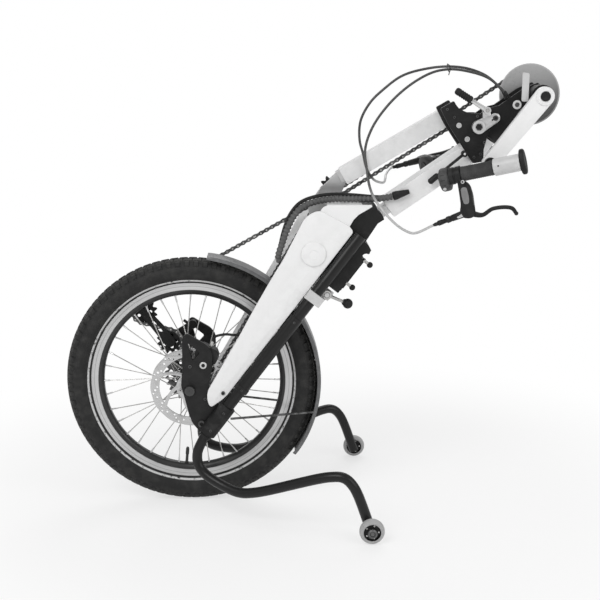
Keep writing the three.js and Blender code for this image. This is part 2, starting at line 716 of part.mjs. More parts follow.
function makeDockLever() {
  const knobRadius = 10;
  const rodRadius = 3.5;
  const reach = V2(41, -18);
  const ear = leverPinRadius + 4 * gap + rodRadius;
  const rodEnd = V3(reach.x, 0, reach.y);
  const hub = pin(ear, -leverHalf, leverHalf, 0, 0, 16);
  const bore = pin(leverPinRadius + gap, -leverHalf - overrun, leverHalf + overrun, 0, 0, 14);
  return cut(
    join(hub, rod(V3(0, 0, 0), rodEnd, rodRadius, 8), ball(knobRadius, rodEnd.x, rodEnd.y, rodEnd.z, 12)),
    bore,
  );
}
piece(
  "dock_lever", makeDockLever(), black, assembly(handcycle, leverX, knobY, leverZ), leverX, knobY, leverZ,
);

// Places of the chain's wheels, and its route round them. The sense is 1 where the wheel lies on the
// chain's left.
const guideFromAxle = V2(-48, 70);
const guideX = guideFromAxle.x;
const guideZ = axleZ + guideFromAxle.y;
const tensionFromAxle = V2(-99, 132);
const tensionX = tensionFromAxle.x;
const tensionZ = axleZ + tensionFromAxle.y;
const frontIdlerFromFold = V2(37, 118.3);
const frontIdlerX = foldX + frontIdlerFromFold.x;
const frontIdlerZ = foldZ + frontIdlerFromFold.y;
const rearIdlerFromFold = V2(9, 48.3);
const rearIdlerX = foldX + rearIdlerFromFold.x;
const rearIdlerZ = foldZ + rearIdlerFromFold.y;
const ringTeeth = 24;
const pulleyTeeth = 12;
const idlerTeeth = 8;
const stops = [
  { x: crankX, z: crankZ, teeth: ringTeeth, sense: 1 },
  { x: frontIdlerX, z: frontIdlerZ, teeth: idlerTeeth, sense: -1 },
  { x: tensionX, z: tensionZ, teeth: pulleyTeeth, sense: 1 },
  { x: guideX, z: guideZ, teeth: pulleyTeeth, sense: -1 },
  { x: 0, z: axleZ, teeth: cogTeeth[chainCog], sense: 1 },
  { x: rearIdlerX, z: rearIdlerZ, teeth: idlerTeeth, sense: -1 },
  { x: tiltX, z: tiltZ, teeth: idlerTeeth, sense: -1 },
];

// The chain leaves one wheel and meets the next on their common tangent.
function tangent(from, to) {
  const a = from.sense * pitchRadius(from.teeth);
  const b = to.sense * pitchRadius(to.teeth);
  const away = Math.hypot(to.x - from.x, to.z - from.z);
  const heading = Math.atan2(to.z - from.z, to.x - from.x) - Math.asin((b - a) / away);
  const left = V2(-Math.sin(heading), Math.cos(heading));
  const start = V2(from.x, from.z).addScaledVector(left, -a);
  const end = V2(to.x, to.z).addScaledVector(left, -b);
  return { heading, start, end };
}

const linkHeight = 8.4;
const innerLinkWidth = 4.6;
const outerLinkWidth = 6.8;

// Points of the chain's middle line, one pitch apart, from the end of one run to the start of another.
function chainLine(first, last) {
  const line = [];
  const walk = (from, to) => {
    const steps = Math.max(1, Math.round(from.distanceTo(to) / pitch));
    for (let i = 0; i <= steps; i++) line.push(from.clone().lerp(to, i / steps));
  };
  for (let i = first; i < last; i++) {
    const [from, to, after] = [
      stops[i % stops.length], stops[(i + 1) % stops.length], stops[(i + 2) % stops.length],
    ];
    const run = tangent(from, to);
    walk(run.start, run.end);
    if (i === last - 1) break;
    const radius = pitchRadius(to.teeth);
    const angle = (p) => Math.atan2(p.y - to.z, p.x - to.x);
    const begin = angle(run.end);
    let sweep = angle(tangent(to, after).start) - begin;
    if (to.sense > 0 && sweep < 0) sweep += turn;
    if (to.sense < 0 && sweep > 0) sweep -= turn;
    const steps = Math.max(1, Math.round(Math.abs(sweep) * radius / pitch));
    for (let k = 1; k < steps; k++) {
      const at = begin + (sweep * k) / steps;
      line.push(V2(to.x + radius * Math.cos(at), to.z + radius * Math.sin(at)));
    }
  }
  return line.filter((p, i) => i === 0 || p.distanceTo(line[i - 1]) > pitch / 8);
}

// A strip of inner links with every other pitch covered by outer plates, open over the teeth of each wheel.
function makeChain(first, last, trim = []) {
  const line = chainLine(first, last);
  const bends = line.filter((p, i) => {
    if (i === 0 || i === line.length - 1) return true;
    return Math.abs(p.clone().sub(line[i - 1]).cross(line[i + 1].clone().sub(p))) > pitch * gap;
  });
  const side = (offset) => bends.map((p, i) => {
    const along = bends[Math.min(i + 1, bends.length - 1)].clone().sub(bends[Math.max(i - 1, 0)]).normalize();
    return V2(p.x - along.y * offset, p.y + along.x * offset);
  });
  const stripHalf = linkHeight / 2.6;
  const band = [...side(-stripHalf), ...side(stripHalf).reverse()];
  const strip = plate(band, chainY - innerLinkWidth / 2, chainY + innerLinkWidth / 2);
  const links = [];
  for (let i = 0; i + 1 < line.length; i += 2) {
    const [a, b] = [line[i], line[i + 1]];
    const along = b.clone().sub(a).normalize();
    const out = V2(-along.y, along.x).multiplyScalar(linkHeight / 2);
    const tip = along.clone().multiplyScalar(linkHeight / 4);
    const [start, end] = [a.clone().sub(tip), b.clone().add(tip)];
    const outline = [
      start.clone().sub(out), end.clone().sub(out), end.clone().add(out), start.clone().add(out),
    ];
    links.push(plate(outline, chainY - outerLinkWidth / 2, chainY + outerLinkWidth / 2));
  }
  const reliefSides = 16;
  const clear = stops.map(({ x, z, teeth }) => {
    const radius = pitchRadius(teeth) + toothHeight + gap;
    const half = toothThick / 2 + gap;
    return pin(radius / Math.cos(Math.PI / reliefSides), chainY - half, chainY + half, x, z, reliefSides);
  });
  return cut(join(strip, ...links), ...clear, ...trim);
}
const frontIdler = stops.findIndex((stop) => stop.x === frontIdlerX);
const rearIdler = stops.findIndex((stop) => stop.x === rearIdlerX);

// A cutter that ends a chain at one idler, on the radial plane in the middle of its wrap.
function chainEnd(stop, side) {
  const { x, z } = stops[stop];
  const arriving = tangent(stops[stop - 1], stops[stop]).heading;
  const leaving = tangent(stops[stop], stops[stop + 1]).heading;
  const within = (angle) => Math.atan2(Math.sin(angle), Math.cos(angle));
  const heading = (within(arriving) + within(leaving)) / 2;
  const [from, to] = [side * gap / 2, side * 2 * linkHeight].sort((a, b) => a - b);
  const reach = pitchRadius(idlerTeeth) + linkHeight;
  return box(
    from, to, chainY - linkHeight, chainY + linkHeight, -reach, reach,
  ).rotateY(-heading).translate(x, 0, z);
}
const BEFORE = -1;
const AFTER = 1;
piece(
  "chain_lower",
  makeChain(frontIdler, rearIdler, [chainEnd(frontIdler, BEFORE), chainEnd(rearIdler, AFTER)]), steel,
  frame,
);

// The derailleur: a body on the far dropout's hanger, and a cage that swings about the guide pulley.
const cageHalf = 5;
const cageThick = 1.5;
const pulleyPin = 2.5;

function makeDerailleurBody() {
  const hanger = V2(hangerShare[0] * dropoutHeight, hangerShare[1] * dropoutHeight + axleZ);
  const y0 = chainY + cageHalf + cageThick + gap;
  const bossRadius = 9;
  const linkRadius = 7.5;
  const bodyRadius = 11;
  const limitRise = 2;
  const middle = y0 + bossRadius / 2;
  const knuckle = pin(bossRadius, y0, hubHalf, hanger.x, hanger.y, 16);
  const link = plate(
    strap(hanger.x, hanger.y, linkRadius, guideX, guideZ, bodyRadius, 5), y0, y0 + bossRadius,
  );
  const limitFrom = V3(hanger.x - bossRadius, middle, hanger.y + limitRise);
  const limitTo = V3(hanger.x - 2 * bossRadius, middle, hanger.y + bossRadius);
  const limit = rod(limitFrom, limitTo, bossRadius / 3, 8);
  return join(knuckle, link, limit);
}
piece("derailleur_body", makeDerailleurBody(), black, frame);

// Where the cage's window begins and ends between its pulleys.
const windowShares = [0.35, 0.65];

function makeCage() {
  const halfWidth = 12;
  const waist = 8;
  const dx = tensionX - guideX;
  const dz = tensionZ - guideZ;
  const outline = strap(0, 0, halfWidth, dx, dz, waist, 5);
  const windowRoot = 4;
  const windowTip = 3.5;
  const [fromShare, toShare] = windowShares;
  const window = strap(dx * fromShare, dz * fromShare, windowRoot, dx * toShare, dz * toShare, windowTip, 3);
  const sides = [
    [chainY - cageHalf - cageThick, chainY - cageHalf], [chainY + cageHalf, chainY + cageHalf + cageThick],
  ];
  const plates = sides.map(([y0, y1]) => plate(outline, y0, y1, [window]));
  const pins = [[0, 0], [dx, dz]].map(([x, z]) =>
    pin(pulleyPin, chainY - cageHalf - gap, chainY + cageHalf + gap, x, z, 10));
  return join(...plates, ...pins);
}
const cage = assembly(handcycle, guideX, chainY, guideZ);
piece("derailleur_cage", makeCage(), black, cage, guideX, 0, guideZ);

// A pulley or idler: a toothed disc on a narrow hub with a bore for its pin.
const pulleyWall = 3;

function makePulley(teeth, pinRadius, half) {
  const hubRadius = pinRadius + pulleyWall;
  const bore = pinRadius + gap;
  const hub = turned([[bore, -half], [hubRadius, -half], [hubRadius, half], [bore, half]], 10);
  return join(hub, toothed(teeth, 0, hubRadius - gap));
}
const pulleyHalf = cageHalf - gap;
for (const [name, x, z] of [["guide_pulley", guideX, guideZ], ["tension_pulley", tensionX, tensionZ]]) {
  piece(
    name, makePulley(pulleyTeeth, pulleyPin, pulleyHalf), blackPlastic, assembly(cage, x, chainY, z), x,
    chainY, z,
  );
}

// The mast turns about the fold pivot.
const mast = assembly(handcycle, foldX, 0, foldZ);
const cheekThick = 6;
const cheekOut = forkIn - gap;
const cheekIn = cheekOut - cheekThick;
const barrelRadius = 19;
const webThick = 6;
const chainSlotHalf = 8;
const idlerReach = 26;

// Knuckle outline from the fold pivot, as shares of its height.
const knuckleHeight = 93.3;
const knuckleCorner = 7;
const knuckleOutlineShares = [
  [0.24, 1], [0.13, 0.88], [-0.1, 0.38], [-0.26, 0.12], [-0.24, -0.14], [-0.05, -0.29], [0.2, -0.22],
  [0.46, 0.06], [0.69, 0.42], [0.725, 0.53], [0.855, 0.76], [1.265, 1],
];
const pinBore = pivotRadius + gap;

function makeKnuckle() {
  const outline = rounded(scaled(knuckleOutlineShares, knuckleHeight, knuckleHeight), knuckleCorner);
  const cheeks = [[-cheekOut, -cheekIn], [cheekIn, cheekOut]].map(([y0, y1]) => plate(outline, y0, y1));
  const barrel = pin(barrelRadius, -cheekOut, cheekOut, 0, 0, 16);
  const bore = pin(pinBore, -cheekOut - overrun, cheekOut + overrun, 0, 0, 16);
  const webStart = knuckleOutlineShares[0][0] * knuckleHeight + webThick / 2;
  const webEnd = knuckleOutlineShares.at(-1)[0] * knuckleHeight - 4 * webThick;
  const web = box(webStart, webEnd, -cheekOut, cheekOut, knuckleHeight - webThick, knuckleHeight);
  const slotEnd = frontIdlerX + idlerReach - foldX;
  const slot = box(
    webStart - overrun, slotEnd, chainY - chainSlotHalf, chainY + chainSlotHalf,
    knuckleHeight - webThick - overrun, knuckleHeight + overrun,
  );
  return cut(join(barrel, cut(join(...cheeks, web), slot)), bore);
}
piece("mast_knuckle", makeKnuckle(), white, mast, foldX, 0, foldZ);

function makePivotPin() {
  const capRadius = 24;
  const capThick = 3;
  const outer = forkOut + gap;
  const half = [
    [0, outer + capThick], [capRadius - capThick / 2, outer + capThick], [capRadius, outer + capThick / 2],
    [capRadius, outer], [pivotRadius, outer],
  ];
  return turned([...half, ...half.map(([r, y]) => [r, -y]).reverse()], 18);
}
piece("pivot_pin", makePivotPin(), white, frame, foldX, 0, foldZ);

// The mast's foot: a block that takes the lower beam's tongue and rests on the dock box.
const lowerBeamFromFold = V2(147, 80.3);
const lowerBeamX = foldX + lowerBeamFromFold.x;
const lowerBeamZ = foldZ + lowerBeamFromFold.y;
const lowerBeamTilt = radians(34.5);
const lowerBeamLength = 190;
const lowerBeamHeight = 40;
const lowerBeamY0 = -32;
const lowerBeamY1 = 22;
const beamWall = 3;
const beamCorner = 2;
const tongueLength = 48;
const tongueHeight = 20;
const tongueInset = 8;
const headClear = 7; // from the beam's face to the release lever
const footHalf = 61;
// Foot outline from the lower beam's start, as shares of its size.
const footSize = 80;
const footOutlineShares = [
  [-0.33, 0.12], [-0.29, 0.01], [-0.17, -0.105], [-0.13, -0.21], [-0.285, -0.31],
];
const footClear = 2 * gap; // between the foot and the knuckle's cheeks
const dockFaceOut = [-18, 24]; // where the foot rests on the box's top face

function makeFoot() {
  const fromBeam = (x, z) => V2(x - lowerBeamX, z - lowerBeamZ);
  const underKnuckle = knuckleOutlineShares.slice(-3).map(([u, v]) =>
    fromBeam(foldX + u * knuckleHeight + footClear, foldZ + v * knuckleHeight - gap));
  const onDock = dockFaceOut.map((out) => onRail(dockTo + gap, out)).map((p) => fromBeam(p.x, p.y));
  const outline = [...scaled(footOutlineShares, footSize, footSize), ...onDock, ...underKnuckle];
  const block = plate(outline, -footHalf, footHalf);
  const pocket = box(
    -tongueLength - gap, tongueLength, lowerBeamY0 + tongueInset - gap, lowerBeamY1 - tongueInset + gap,
    -tongueHeight / 2 - gap, tongueHeight / 2 + gap,
  ).rotateY(-lowerBeamTilt);
  return cut(block, pocket);
}

const studFromBeam = V2(142.8, 107.4);
const studX = lowerBeamX + studFromBeam.x;
const studZ = lowerBeamZ + studFromBeam.y;
const studRadius = 2.5;
const releaseHalf = 6;
const releaseY = lowerBeamY0 - gap - headClear - releaseHalf;

function makeLowerBeam() {
  const half = lowerBeamHeight / 2;
  const shell = plate(rectangle(0, lowerBeamLength, -half, half, beamCorner), lowerBeamY0, lowerBeamY1);
  const bore = box(
    4 * beamWall, lowerBeamLength + overrun, lowerBeamY0 + beamWall, lowerBeamY1 - beamWall,
    -half + beamWall, half - beamWall,
  );
  const [tongueY0, tongueY1] = [lowerBeamY0 + tongueInset, lowerBeamY1 - tongueInset];
  const tongue = box(-tongueLength, beamWall, tongueY0, tongueY1, -tongueHeight / 2, tongueHeight / 2);
  const inBeam = studFromBeam.clone().rotateAround(V2(0, 0), -lowerBeamTilt);
  const stud = pin(studRadius, releaseY - releaseHalf - gap, lowerBeamY0 + gap, inBeam.x, inBeam.y, 10);
  return join(cut(join(shell, tongue), bore), stud);
}
piece("mast_foot", makeFoot(), black, mast, lowerBeamX, 0, lowerBeamZ);
piece("lower_beam", makeLowerBeam(), white, mast, lowerBeamX, 0, lowerBeamZ, lowerBeamTilt);

// The upper beam is the chain tube. Its floor is open where the front run enters.
const upperBeamFromFold = V2(62, 136.3);
const upperBeamX = foldX + upperBeamFromFold.x;
const upperBeamZ = foldZ + upperBeamFromFold.y;
const upperBeamTilt = radians(30.13);
const upperBeamLength = 250;
const upperBeamHeight = 35;
const headPlateThick = 6;
const midPlateY0 = lowerBeamY1 + gap;
const midPlateY1 = midPlateY0 + headPlateThick;
const upperBeamY0 = midPlateY1 + gap;
const upperBeamY1 = 2 * chainY - upperBeamY0;
const floorSlotLength = 175;
const upperBeamWall = 2.5;

function makeUpperBeam() {
  const half = upperBeamHeight / 2;
  const wall = upperBeamWall;
  const shell = plate(rectangle(0, upperBeamLength, -half, half, beamCorner), upperBeamY0, upperBeamY1);
  const [boreY0, boreY1] = [upperBeamY0 + wall, upperBeamY1 - wall];
  const bore = box(-overrun, upperBeamLength + overrun, boreY0, boreY1, -half + wall, half - wall);
  const slotHalf = chainSlotHalf - wall;
  const slot = box(-overrun, floorSlotLength, chainY - slotHalf, chainY + slotHalf, -half - overrun, 0);
  return cut(shell, bore, slot);
}
piece("upper_beam", makeUpperBeam(), white, mast, upperBeamX, 0, upperBeamZ, upperBeamTilt);

// The bracket in the upper beam's mouth carries the two fixed idlers and passes the knuckle's web.
const bracketInner = 5; // from the chain's middle plane to each plate
const bracketThick = 2.5;
const bracketSize = 154;
// From the fold pivot.
const bracketOutlineShares = [
  [-0.045, 0.489], [0.123, 0.749], [0.344, 0.956], [0.448, 0.814], [0.37, 0.632], [0.123, 0.203],
  [-0.019, 0.229],
];
const plugLength = 22;
const plugOut = 8; // how far the plug stands out of the beam's mouth
const plugFloor = -10; // the chain's front run passes below it
const idlerHalf = bracketInner - gap;

function makeIdlerBracket() {
  const outline = scaled(bracketOutlineShares, bracketSize, bracketSize);
  const plates = [NEAR, FAR].map((side) => {
    const [y0, y1] = [
      chainY + side * bracketInner, chainY + side * (bracketInner + bracketThick),
    ].sort((a, b) => a - b);
    return plate(outline, y0, y1);
  });
  const pins = [stops[frontIdler], stops[rearIdler]].map(({ x, z }) =>
    pin(pulleyPin, chainY - bracketInner - gap, chainY + bracketInner + gap, x - foldX, z - foldZ, 10));
  const plug = box(
    -plugOut, plugLength, upperBeamY0 + upperBeamWall + gap, upperBeamY1 - upperBeamWall - gap, plugFloor,
    upperBeamHeight / 2 - upperBeamWall - gap,
  ).rotateY(-upperBeamTilt).translate(upperBeamX - foldX, 0, upperBeamZ - foldZ);
  return join(...plates, ...pins, plug);
}
piece("idler_bracket", makeIdlerBracket(), silver, mast, foldX, 0, foldZ);

const idlers = [
  ["idler_front", frontIdlerX, frontIdlerZ], ["idler_rear", rearIdlerX, rearIdlerZ],
  ["idler_tilt", tiltX, tiltZ],
];
for (const [name, x, z] of idlers) {
  piece(
    name, makePulley(idlerTeeth, pulleyPin, idlerHalf), blackPlastic, assembly(mast, x, chainY, z), x,
    chainY, z,
  );
}

// The chain's other part runs from the rear idler over the tilt pivot, round the crank's ring and through
// the chain tube.
const chainStops = stops.length;
const closing = [chainEnd(rearIdler, BEFORE), chainEnd(frontIdler, AFTER)];
piece("chain_upper", makeChain(rearIdler, chainStops + frontIdler, closing), steel, mast);

// The head: two plates hold the beams' ends, and the tilt pin passes both.
const headSize = 100;
const headOutlineShares = [
  [-0.73, 0.345], [-0.475, 0.49], [-0.43, 0.41], [-0.364, 0.335], [-0.156, 0.247], [0.047, 0.247],
  [0.282, 0.108], [0.191, -0.183], [0.123, -0.436], [0.131, -0.665], [-0.075, -0.702], [-0.318, -0.334],
  [-0.56, 0.022],
];
const headHoleShares = [[-0.366, 0.024], [-0.198, -0.237]];
const headHoleRadius = 5.5;
const tiltPinRadius = 8;

function makeHeadPlate(y0) {
  const holes = headHoleShares.map(([u, v]) => circle(headHoleRadius, 16, u * headSize, v * headSize));
  return plate(
    scaled(headOutlineShares, headSize, headSize), y0, y0 + headPlateThick,
    [circle(tiltPinRadius + gap, 16), ...holes],
  );
}
const nearHeadY0 = lowerBeamY0 - gap - headPlateThick;
piece("head_plate_near", makeHeadPlate(nearHeadY0), black, mast, tiltX, 0, tiltZ);
piece("head_plate_far", makeHeadPlate(midPlateY0), black, mast, tiltX, 0, tiltZ);

const clampFromTilt = V2(13.2, 31.7);
const clampX = tiltX + clampFromTilt.x;
const clampZ = tiltZ + clampFromTilt.y;
const clampPinRadius = 3;
const clampY1 = nearHeadY0 - gap;
const clampThick = 11;
const clampLeverHalf = 5;

function makeTiltPin() {
  const headRadius = 13;
  const jawRadius = 9;
  const jawReach = V2(31, 17);
  const neckRadius = 7;
  const capRadius = 5;
  const capThick = 2;
  const clampY0 = clampY1 - clampThick;
  const shoulder = chainY - bracketInner;
  const idlerEnd = chainY + bracketInner;
  const shaft = turned([
    [0, clampY0 - capThick], [
      headRadius - capThick, clampY0 - capThick,
    ], [headRadius, clampY0], [headRadius, clampY1],
    [tiltPinRadius, clampY1], [tiltPinRadius, shoulder], [pulleyPin, shoulder], [pulleyPin, idlerEnd],
    [capRadius, idlerEnd], [capRadius, idlerEnd + capThick], [0, idlerEnd + capThick],
  ], 14);
  const hinge = clampFromTilt;
  const jaw = plate(strap(0, 0, headRadius, jawReach.x, jawReach.y, jawRadius, 4), clampY0, clampY1);
  const neck = plate(
    strap(jawReach.x / 2, jawReach.y / 2, jawRadius, hinge.x, hinge.y, neckRadius, 4), clampY0, clampY1,
  );
  const leverPin = pin(
    clampPinRadius, clampY0 - 2 * clampLeverHalf - 2 * gap, clampY0 + gap, hinge.x, hinge.y, 10,
  );
  return join(shaft, jaw, neck, leverPin);
}
piece("tilt_pin", makeTiltPin(), silver, mast, tiltX, 0, tiltZ);

function makeClampLever() {
  const hubRadius = 7;
  const armRadius = 4;
  const handleRadius = 7;
  const armEnd = V3(-30, 0, 18.5);
  const handleEnd = V3(-61, 0, 38);
  const length = armEnd.distanceTo(handleEnd);
  const tip = handleRadius / 2;
  const handle = turnedAlong([
    [0, 0], [handleRadius - tip / 2, 0], [handleRadius, tip], [handleRadius, length - tip],
    [handleRadius - tip, length], [0, length],
  ], armEnd, handleEnd, 12);
  const hub = pin(hubRadius, -clampLeverHalf, clampLeverHalf, 0, 0, 16);
  const bore = pin(clampPinRadius + gap, -clampLeverHalf - overrun, clampLeverHalf + overrun, 0, 0, 12);
  return cut(join(hub, rod(V3(0, 0, 0), armEnd, armRadius, 8), handle), bore);
}
const clampLeverY = clampY1 - clampThick - gap - clampLeverHalf;
piece(
  "clamp_lever", makeClampLever(), black, assembly(mast, clampX, clampLeverY, clampZ), clampX, clampLeverY,
  clampZ,
);

// The release lever turns on a stud of the lower beam.
function makeReleaseLever() {
  const hubRadius = 6;
  const rodRadius = 3;
  const handleRadius = 6;
  const half = handleRadius;
  const handleStart = V3(-49, 0, -40.2);
  const handleEnd = V3(-67, 0, -55.6);
  const tip = handleRadius / 2;
  const length = handleStart.distanceTo(handleEnd);
  const handle = turnedAlong([
    [0, 0], [handleRadius - tip / 2, 0], [handleRadius, tip], [handleRadius, length - tip],
    [handleRadius - tip, length], [0, length],
  ], handleStart, handleEnd, 12);
  const hub = pin(hubRadius, -half, half, 0, 0, 14);
  const bore = pin(studRadius + gap, -half - overrun, half + overrun, 0, 0, 12);
  return cut(join(hub, rod(V3(0, 0, 0), handleStart, rodRadius, 8), handle), bore);
}
piece(
  "release_lever", makeReleaseLever(), black, assembly(mast, studX, releaseY, studZ), studX, releaseY, studZ,
);

// The crank's bracket tilts with the pin: two plates, a cross block and the shell that the crank's spindle
// turns in.
const tilting = assembly(mast, tiltX, 0, tiltZ);
const spindleRadius = 12;
const shellRadius = 21;
const shellNear = -70;
const shellFar = 36;
const armIn = 76;
const armThick = 16;
const armOut = armIn + armThick;
const portFromTilt = 56.2;
const portX = tiltX + portFromTilt;
const portZ = crankZ;
const portRadius = 4.5;
const nearPortY = -20;
const farPortY = -8;

// A block between the bracket's plates holds the hoses' glands, from the tilt pivot.
const blockEndX = 76;
const blockTopZ = 36;
const blockLength = 35;
const blockHeight = 28;

const reachSize = 100;
// From the tilt pivot.
const reachOutlineShares = [
  [0.012, 0.217], [0.192, 0.347], [0.402, 0.397], [0.842, 0.707], [1.132, 0.827], [1.382, 0.587],
  [1.132, 0.347], [0.837, 0.347], [0.662, 0.117], [0.522, -0.413], [0.312, -0.283], [0.192, -0.183],
  [0.012, -0.223],
];

function makeCrankBracket() {
  const bossRadius = 22;
  const plateThick = 5.7;
  const shell = crankFromTilt;
  const nearPlate = lowerBeamY0 + gap;
  const farPlate = midPlateY0 - 2 * gap - plateThick;
  const outline = scaled(reachOutlineShares, reachSize, reachSize);
  const plates = [nearPlate, farPlate].flatMap((y0) => {
    const y1 = y0 + plateThick;
    return [plate(outline, y0, y1), plate(circle(bossRadius, 12), y0, y1)];
  });
  const block = box(
    blockEndX - blockLength, blockEndX, nearPlate + gap, farPlate + gap, blockTopZ - blockHeight, blockTopZ,
  );
  const barrel = pin(shellRadius, shellNear, shellFar, shell.x, shell.y, 16);
  const glands = [nearPortY, farPortY].map((y) => {
    const end = V3(portX - tiltX, y, portZ - tiltZ);
    const root = V3(blockEndX - portRadius, y, blockTopZ - portRadius);
    return rod(root, end, portRadius, 8);
  });
  const bores = [
    pin(tiltPinRadius + gap, nearPlate - overrun, midPlateY0, 0, 0, 12),
    pin(spindleRadius + gap, shellNear - overrun, shellFar + overrun, shell.x, shell.y, 16),
  ];
  return cut(join(...plates, block, barrel, ...glands), ...bores);
}
piece("crank_bracket", makeCrankBracket(), black, tilting, tiltX, 0, tiltZ);

// The crank: two parallel arms, the near one with the spindle, the far one with the chain ring.
const crank = assembly(tilting, crankX, 0, crankZ);
const armEndFromCrank = V2(-99, -124.5);
const armEndX = crankX + armEndFromCrank.x;
const armEndZ = crankZ + armEndFromCrank.y;
const armRoot = 18;
const armTip = 14.5;
const spindleEnd = 76;
const gripPin = 7;
const armWeb = 10; // how deep the grip's pin enters the arm

function makeArm(side) {
  const [y0, y1] = [side * armIn, side * armOut].sort((a, b) => a - b);
  const end = armEndFromCrank;
  const body = plate(strap(0, 0, armRoot, end.x, end.y, armTip, 5), y0, y1);
  const [p0, p1] = [side * (armOut - armWeb), side * (armOut + overrun)].sort((a, b) => a - b);
  return cut(body, pin(gripPin + gap, p0, p1, end.x, end.y, 14));
}

function makeNearArm() {
  const capRadius = 9;
  const capThick = 3;
  const spindle = pin(spindleRadius, -armIn - gap, spindleEnd, 0, 0, 16);
  const cap = pin(capRadius, -armOut - capThick, -armOut + gap, 0, 0, 12);
  return join(makeArm(NEAR), spindle, cap);
}

const ringBore = 26;
const ringOut = chainY + toothThick / 2;

function makeFarArm() {
  const bossRadius = 20;
  const spokes = 5;
  const spokeHalf = 6;
  const spokeReach = 34;
  const boss = pin(bossRadius, ringOut - toothThick, armIn + gap, 0, 0, 16);
  const spider = Array.from({ length: spokes }, (_, i) => {
    const a = (turn * i) / spokes;
    const spoke = strap(
      0, 0, 2 * spokeHalf, spokeReach * Math.cos(a), spokeReach * Math.sin(a), spokeHalf, 2,
    );
    return plate(spoke, ringOut - gap, ringOut + spokeHalf);
  });
  const ring = toothed(ringTeeth, chainY, ringBore);
  const bore = pin(spindleRadius + gap, chainY - overrun, spindleEnd + gap, 0, 0, 16);
  return cut(join(makeArm(FAR), boss, ring, ...spider), bore);
}
piece("crank_arm_near", makeNearArm(), white, crank, crankX, 0, crankZ);
piece("crank_arm_far", makeFarArm(), white, crank, crankX, 0, crankZ);

// The smoked disc beside the ring keeps the chain off the hose side.
function makeGuardDisc() {
  const radius = 60;
  const thick = 2.5;
  const hole = spindleRadius + gap;
  const ribIn = 28;
  const ribOut = 36;
  const ribHeight = 2.8;
  const seat = ringOut - toothThick - gap;
  const y1 = seat - ribHeight;
  const y0 = y1 - thick;
  const profile = [
    [hole, y0], [radius, y0], [radius, y1], [ribOut, y1], [ribOut, seat], [ribIn, seat], [ribIn, y1],
    [hole, y1],
  ];
  return turned(profile, 24);
}
piece("guard_disc", makeGuardDisc(), smoke, crank, crankX, 0, crankZ);

// A grip's own frame: X along the grip, Z up, and the origin where its rubber begins.
const gripFromArm = V3(-65.2, 33, -17.2);
const gripX = armEndX + gripFromArm.x;
const gripY = armOut + gripFromArm.y;
const gripZ = armEndZ + gripFromArm.z;
const gripYaw = radians(22);
const gripPitch = radians(13.34);
const barRadius = 11;
const barStart = -36;
const rubberStart = 6;
const rubberEnd = 68;
const rubberRadius = 14;
const sleeveStart = rubberEnd + gap;
const sleeveEnd = 117;
const paleRadius = 16;

function gripFrame(side, roll = 0) {
  const group = new THREE.Group();
  group.position.set(gripFromArm.x, side * gripFromArm.y, gripFromArm.z);
  group.rotation.set(side * roll, -gripPitch, side * gripYaw, "ZYX");
  group.userData.home = V3(0, 0, 0);
  return group;
}

function makeGripCore(side, group) {
  const toGrip = (x, y, z) =>
    V3(x - gripX, side * (y - gripY), z - gripZ).applyQuaternion(group.quaternion.clone().invert());
  const flangeRadius = 12;
  const flangeThick = 5;
  const neckRadius = 8;
  const neckEnd = 90;
  const along = (p) => turnedAlong(p, V3(barStart, 0, 0), V3(sleeveEnd, 0, 0), 12);
  const sleeveAt = sleeveStart - barStart;
  const total = sleeveEnd - barStart;
  const bar = along([
    [0, 0], [barRadius, 0], [barRadius, sleeveAt], [paleRadius, sleeveAt], [paleRadius, total], [0, total],
  ]);
  const inArm = toGrip(armEndX, armOut - armWeb + gap, armEndZ);
  const face = toGrip(armEndX, armOut + gap, armEndZ);
  const flangeTop = toGrip(armEndX, armOut + gap + flangeThick, armEndZ);
  const stub = rod(inArm, flangeTop, gripPin, 12);
  const flange = rod(face, flangeTop, flangeRadius, 14);
  const neck = rod(flangeTop, V3(neckEnd, 0, 0), neckRadius, 12);
  return join(bar, stub, flange, neck);
}

function makeGripRubber() {
  const bore = barRadius + gap;
  const length = rubberEnd - rubberStart;
  const ribs = 3;
  const ribDepth = 0.8;
  const round = 3;
  const step = (length - 2 * round) / ribs;
  const crestShare = 0.3;
  const grooveShare = 0.8;
  const wave = Array.from({ length: ribs }, (_, i) => [
    [rubberRadius, round + (i + crestShare) * step], [
      rubberRadius - ribDepth, round + (i + grooveShare) * step,
    ],
  ]).flat();
  const endRadius = rubberRadius - round / 2;
  const profile = [
    [bore, 0], [endRadius, 0], ...wave, [rubberRadius, length - round], [endRadius, length], [bore, length],
  ];
  return turnedAlong(profile, V3(rubberStart, 0, 0), V3(rubberEnd, 0, 0), 14);
}

function makeGripStop() {
  const height = 47;
  const width = 28;
  const thick = 9;
  const start = sleeveEnd + gap;
  const bevel = 2.5;
  const squash = width / height;
  const end = start + thick;
  const r = height / 2;
  const profile = [[0, 0], [r - bevel, 0], [r, bevel], [r, thick - bevel], [r - bevel, thick], [0, thick]];
  return turnedAlong(profile, V3(start, 0, 0), V3(end, 0, 0), 20).scale(1, squash, 1);
}

const bladePivotX = 10.7;
const bladePivotZ = -75.6;
const bladePin = 2.5;
const bladeHalf = 4;
const bladeHub = 6;
const nozzleEnd = V3(-56, 0, -82);
const nozzleRoot = V3(-4, 0, -73);
const nozzleRadius = 5;

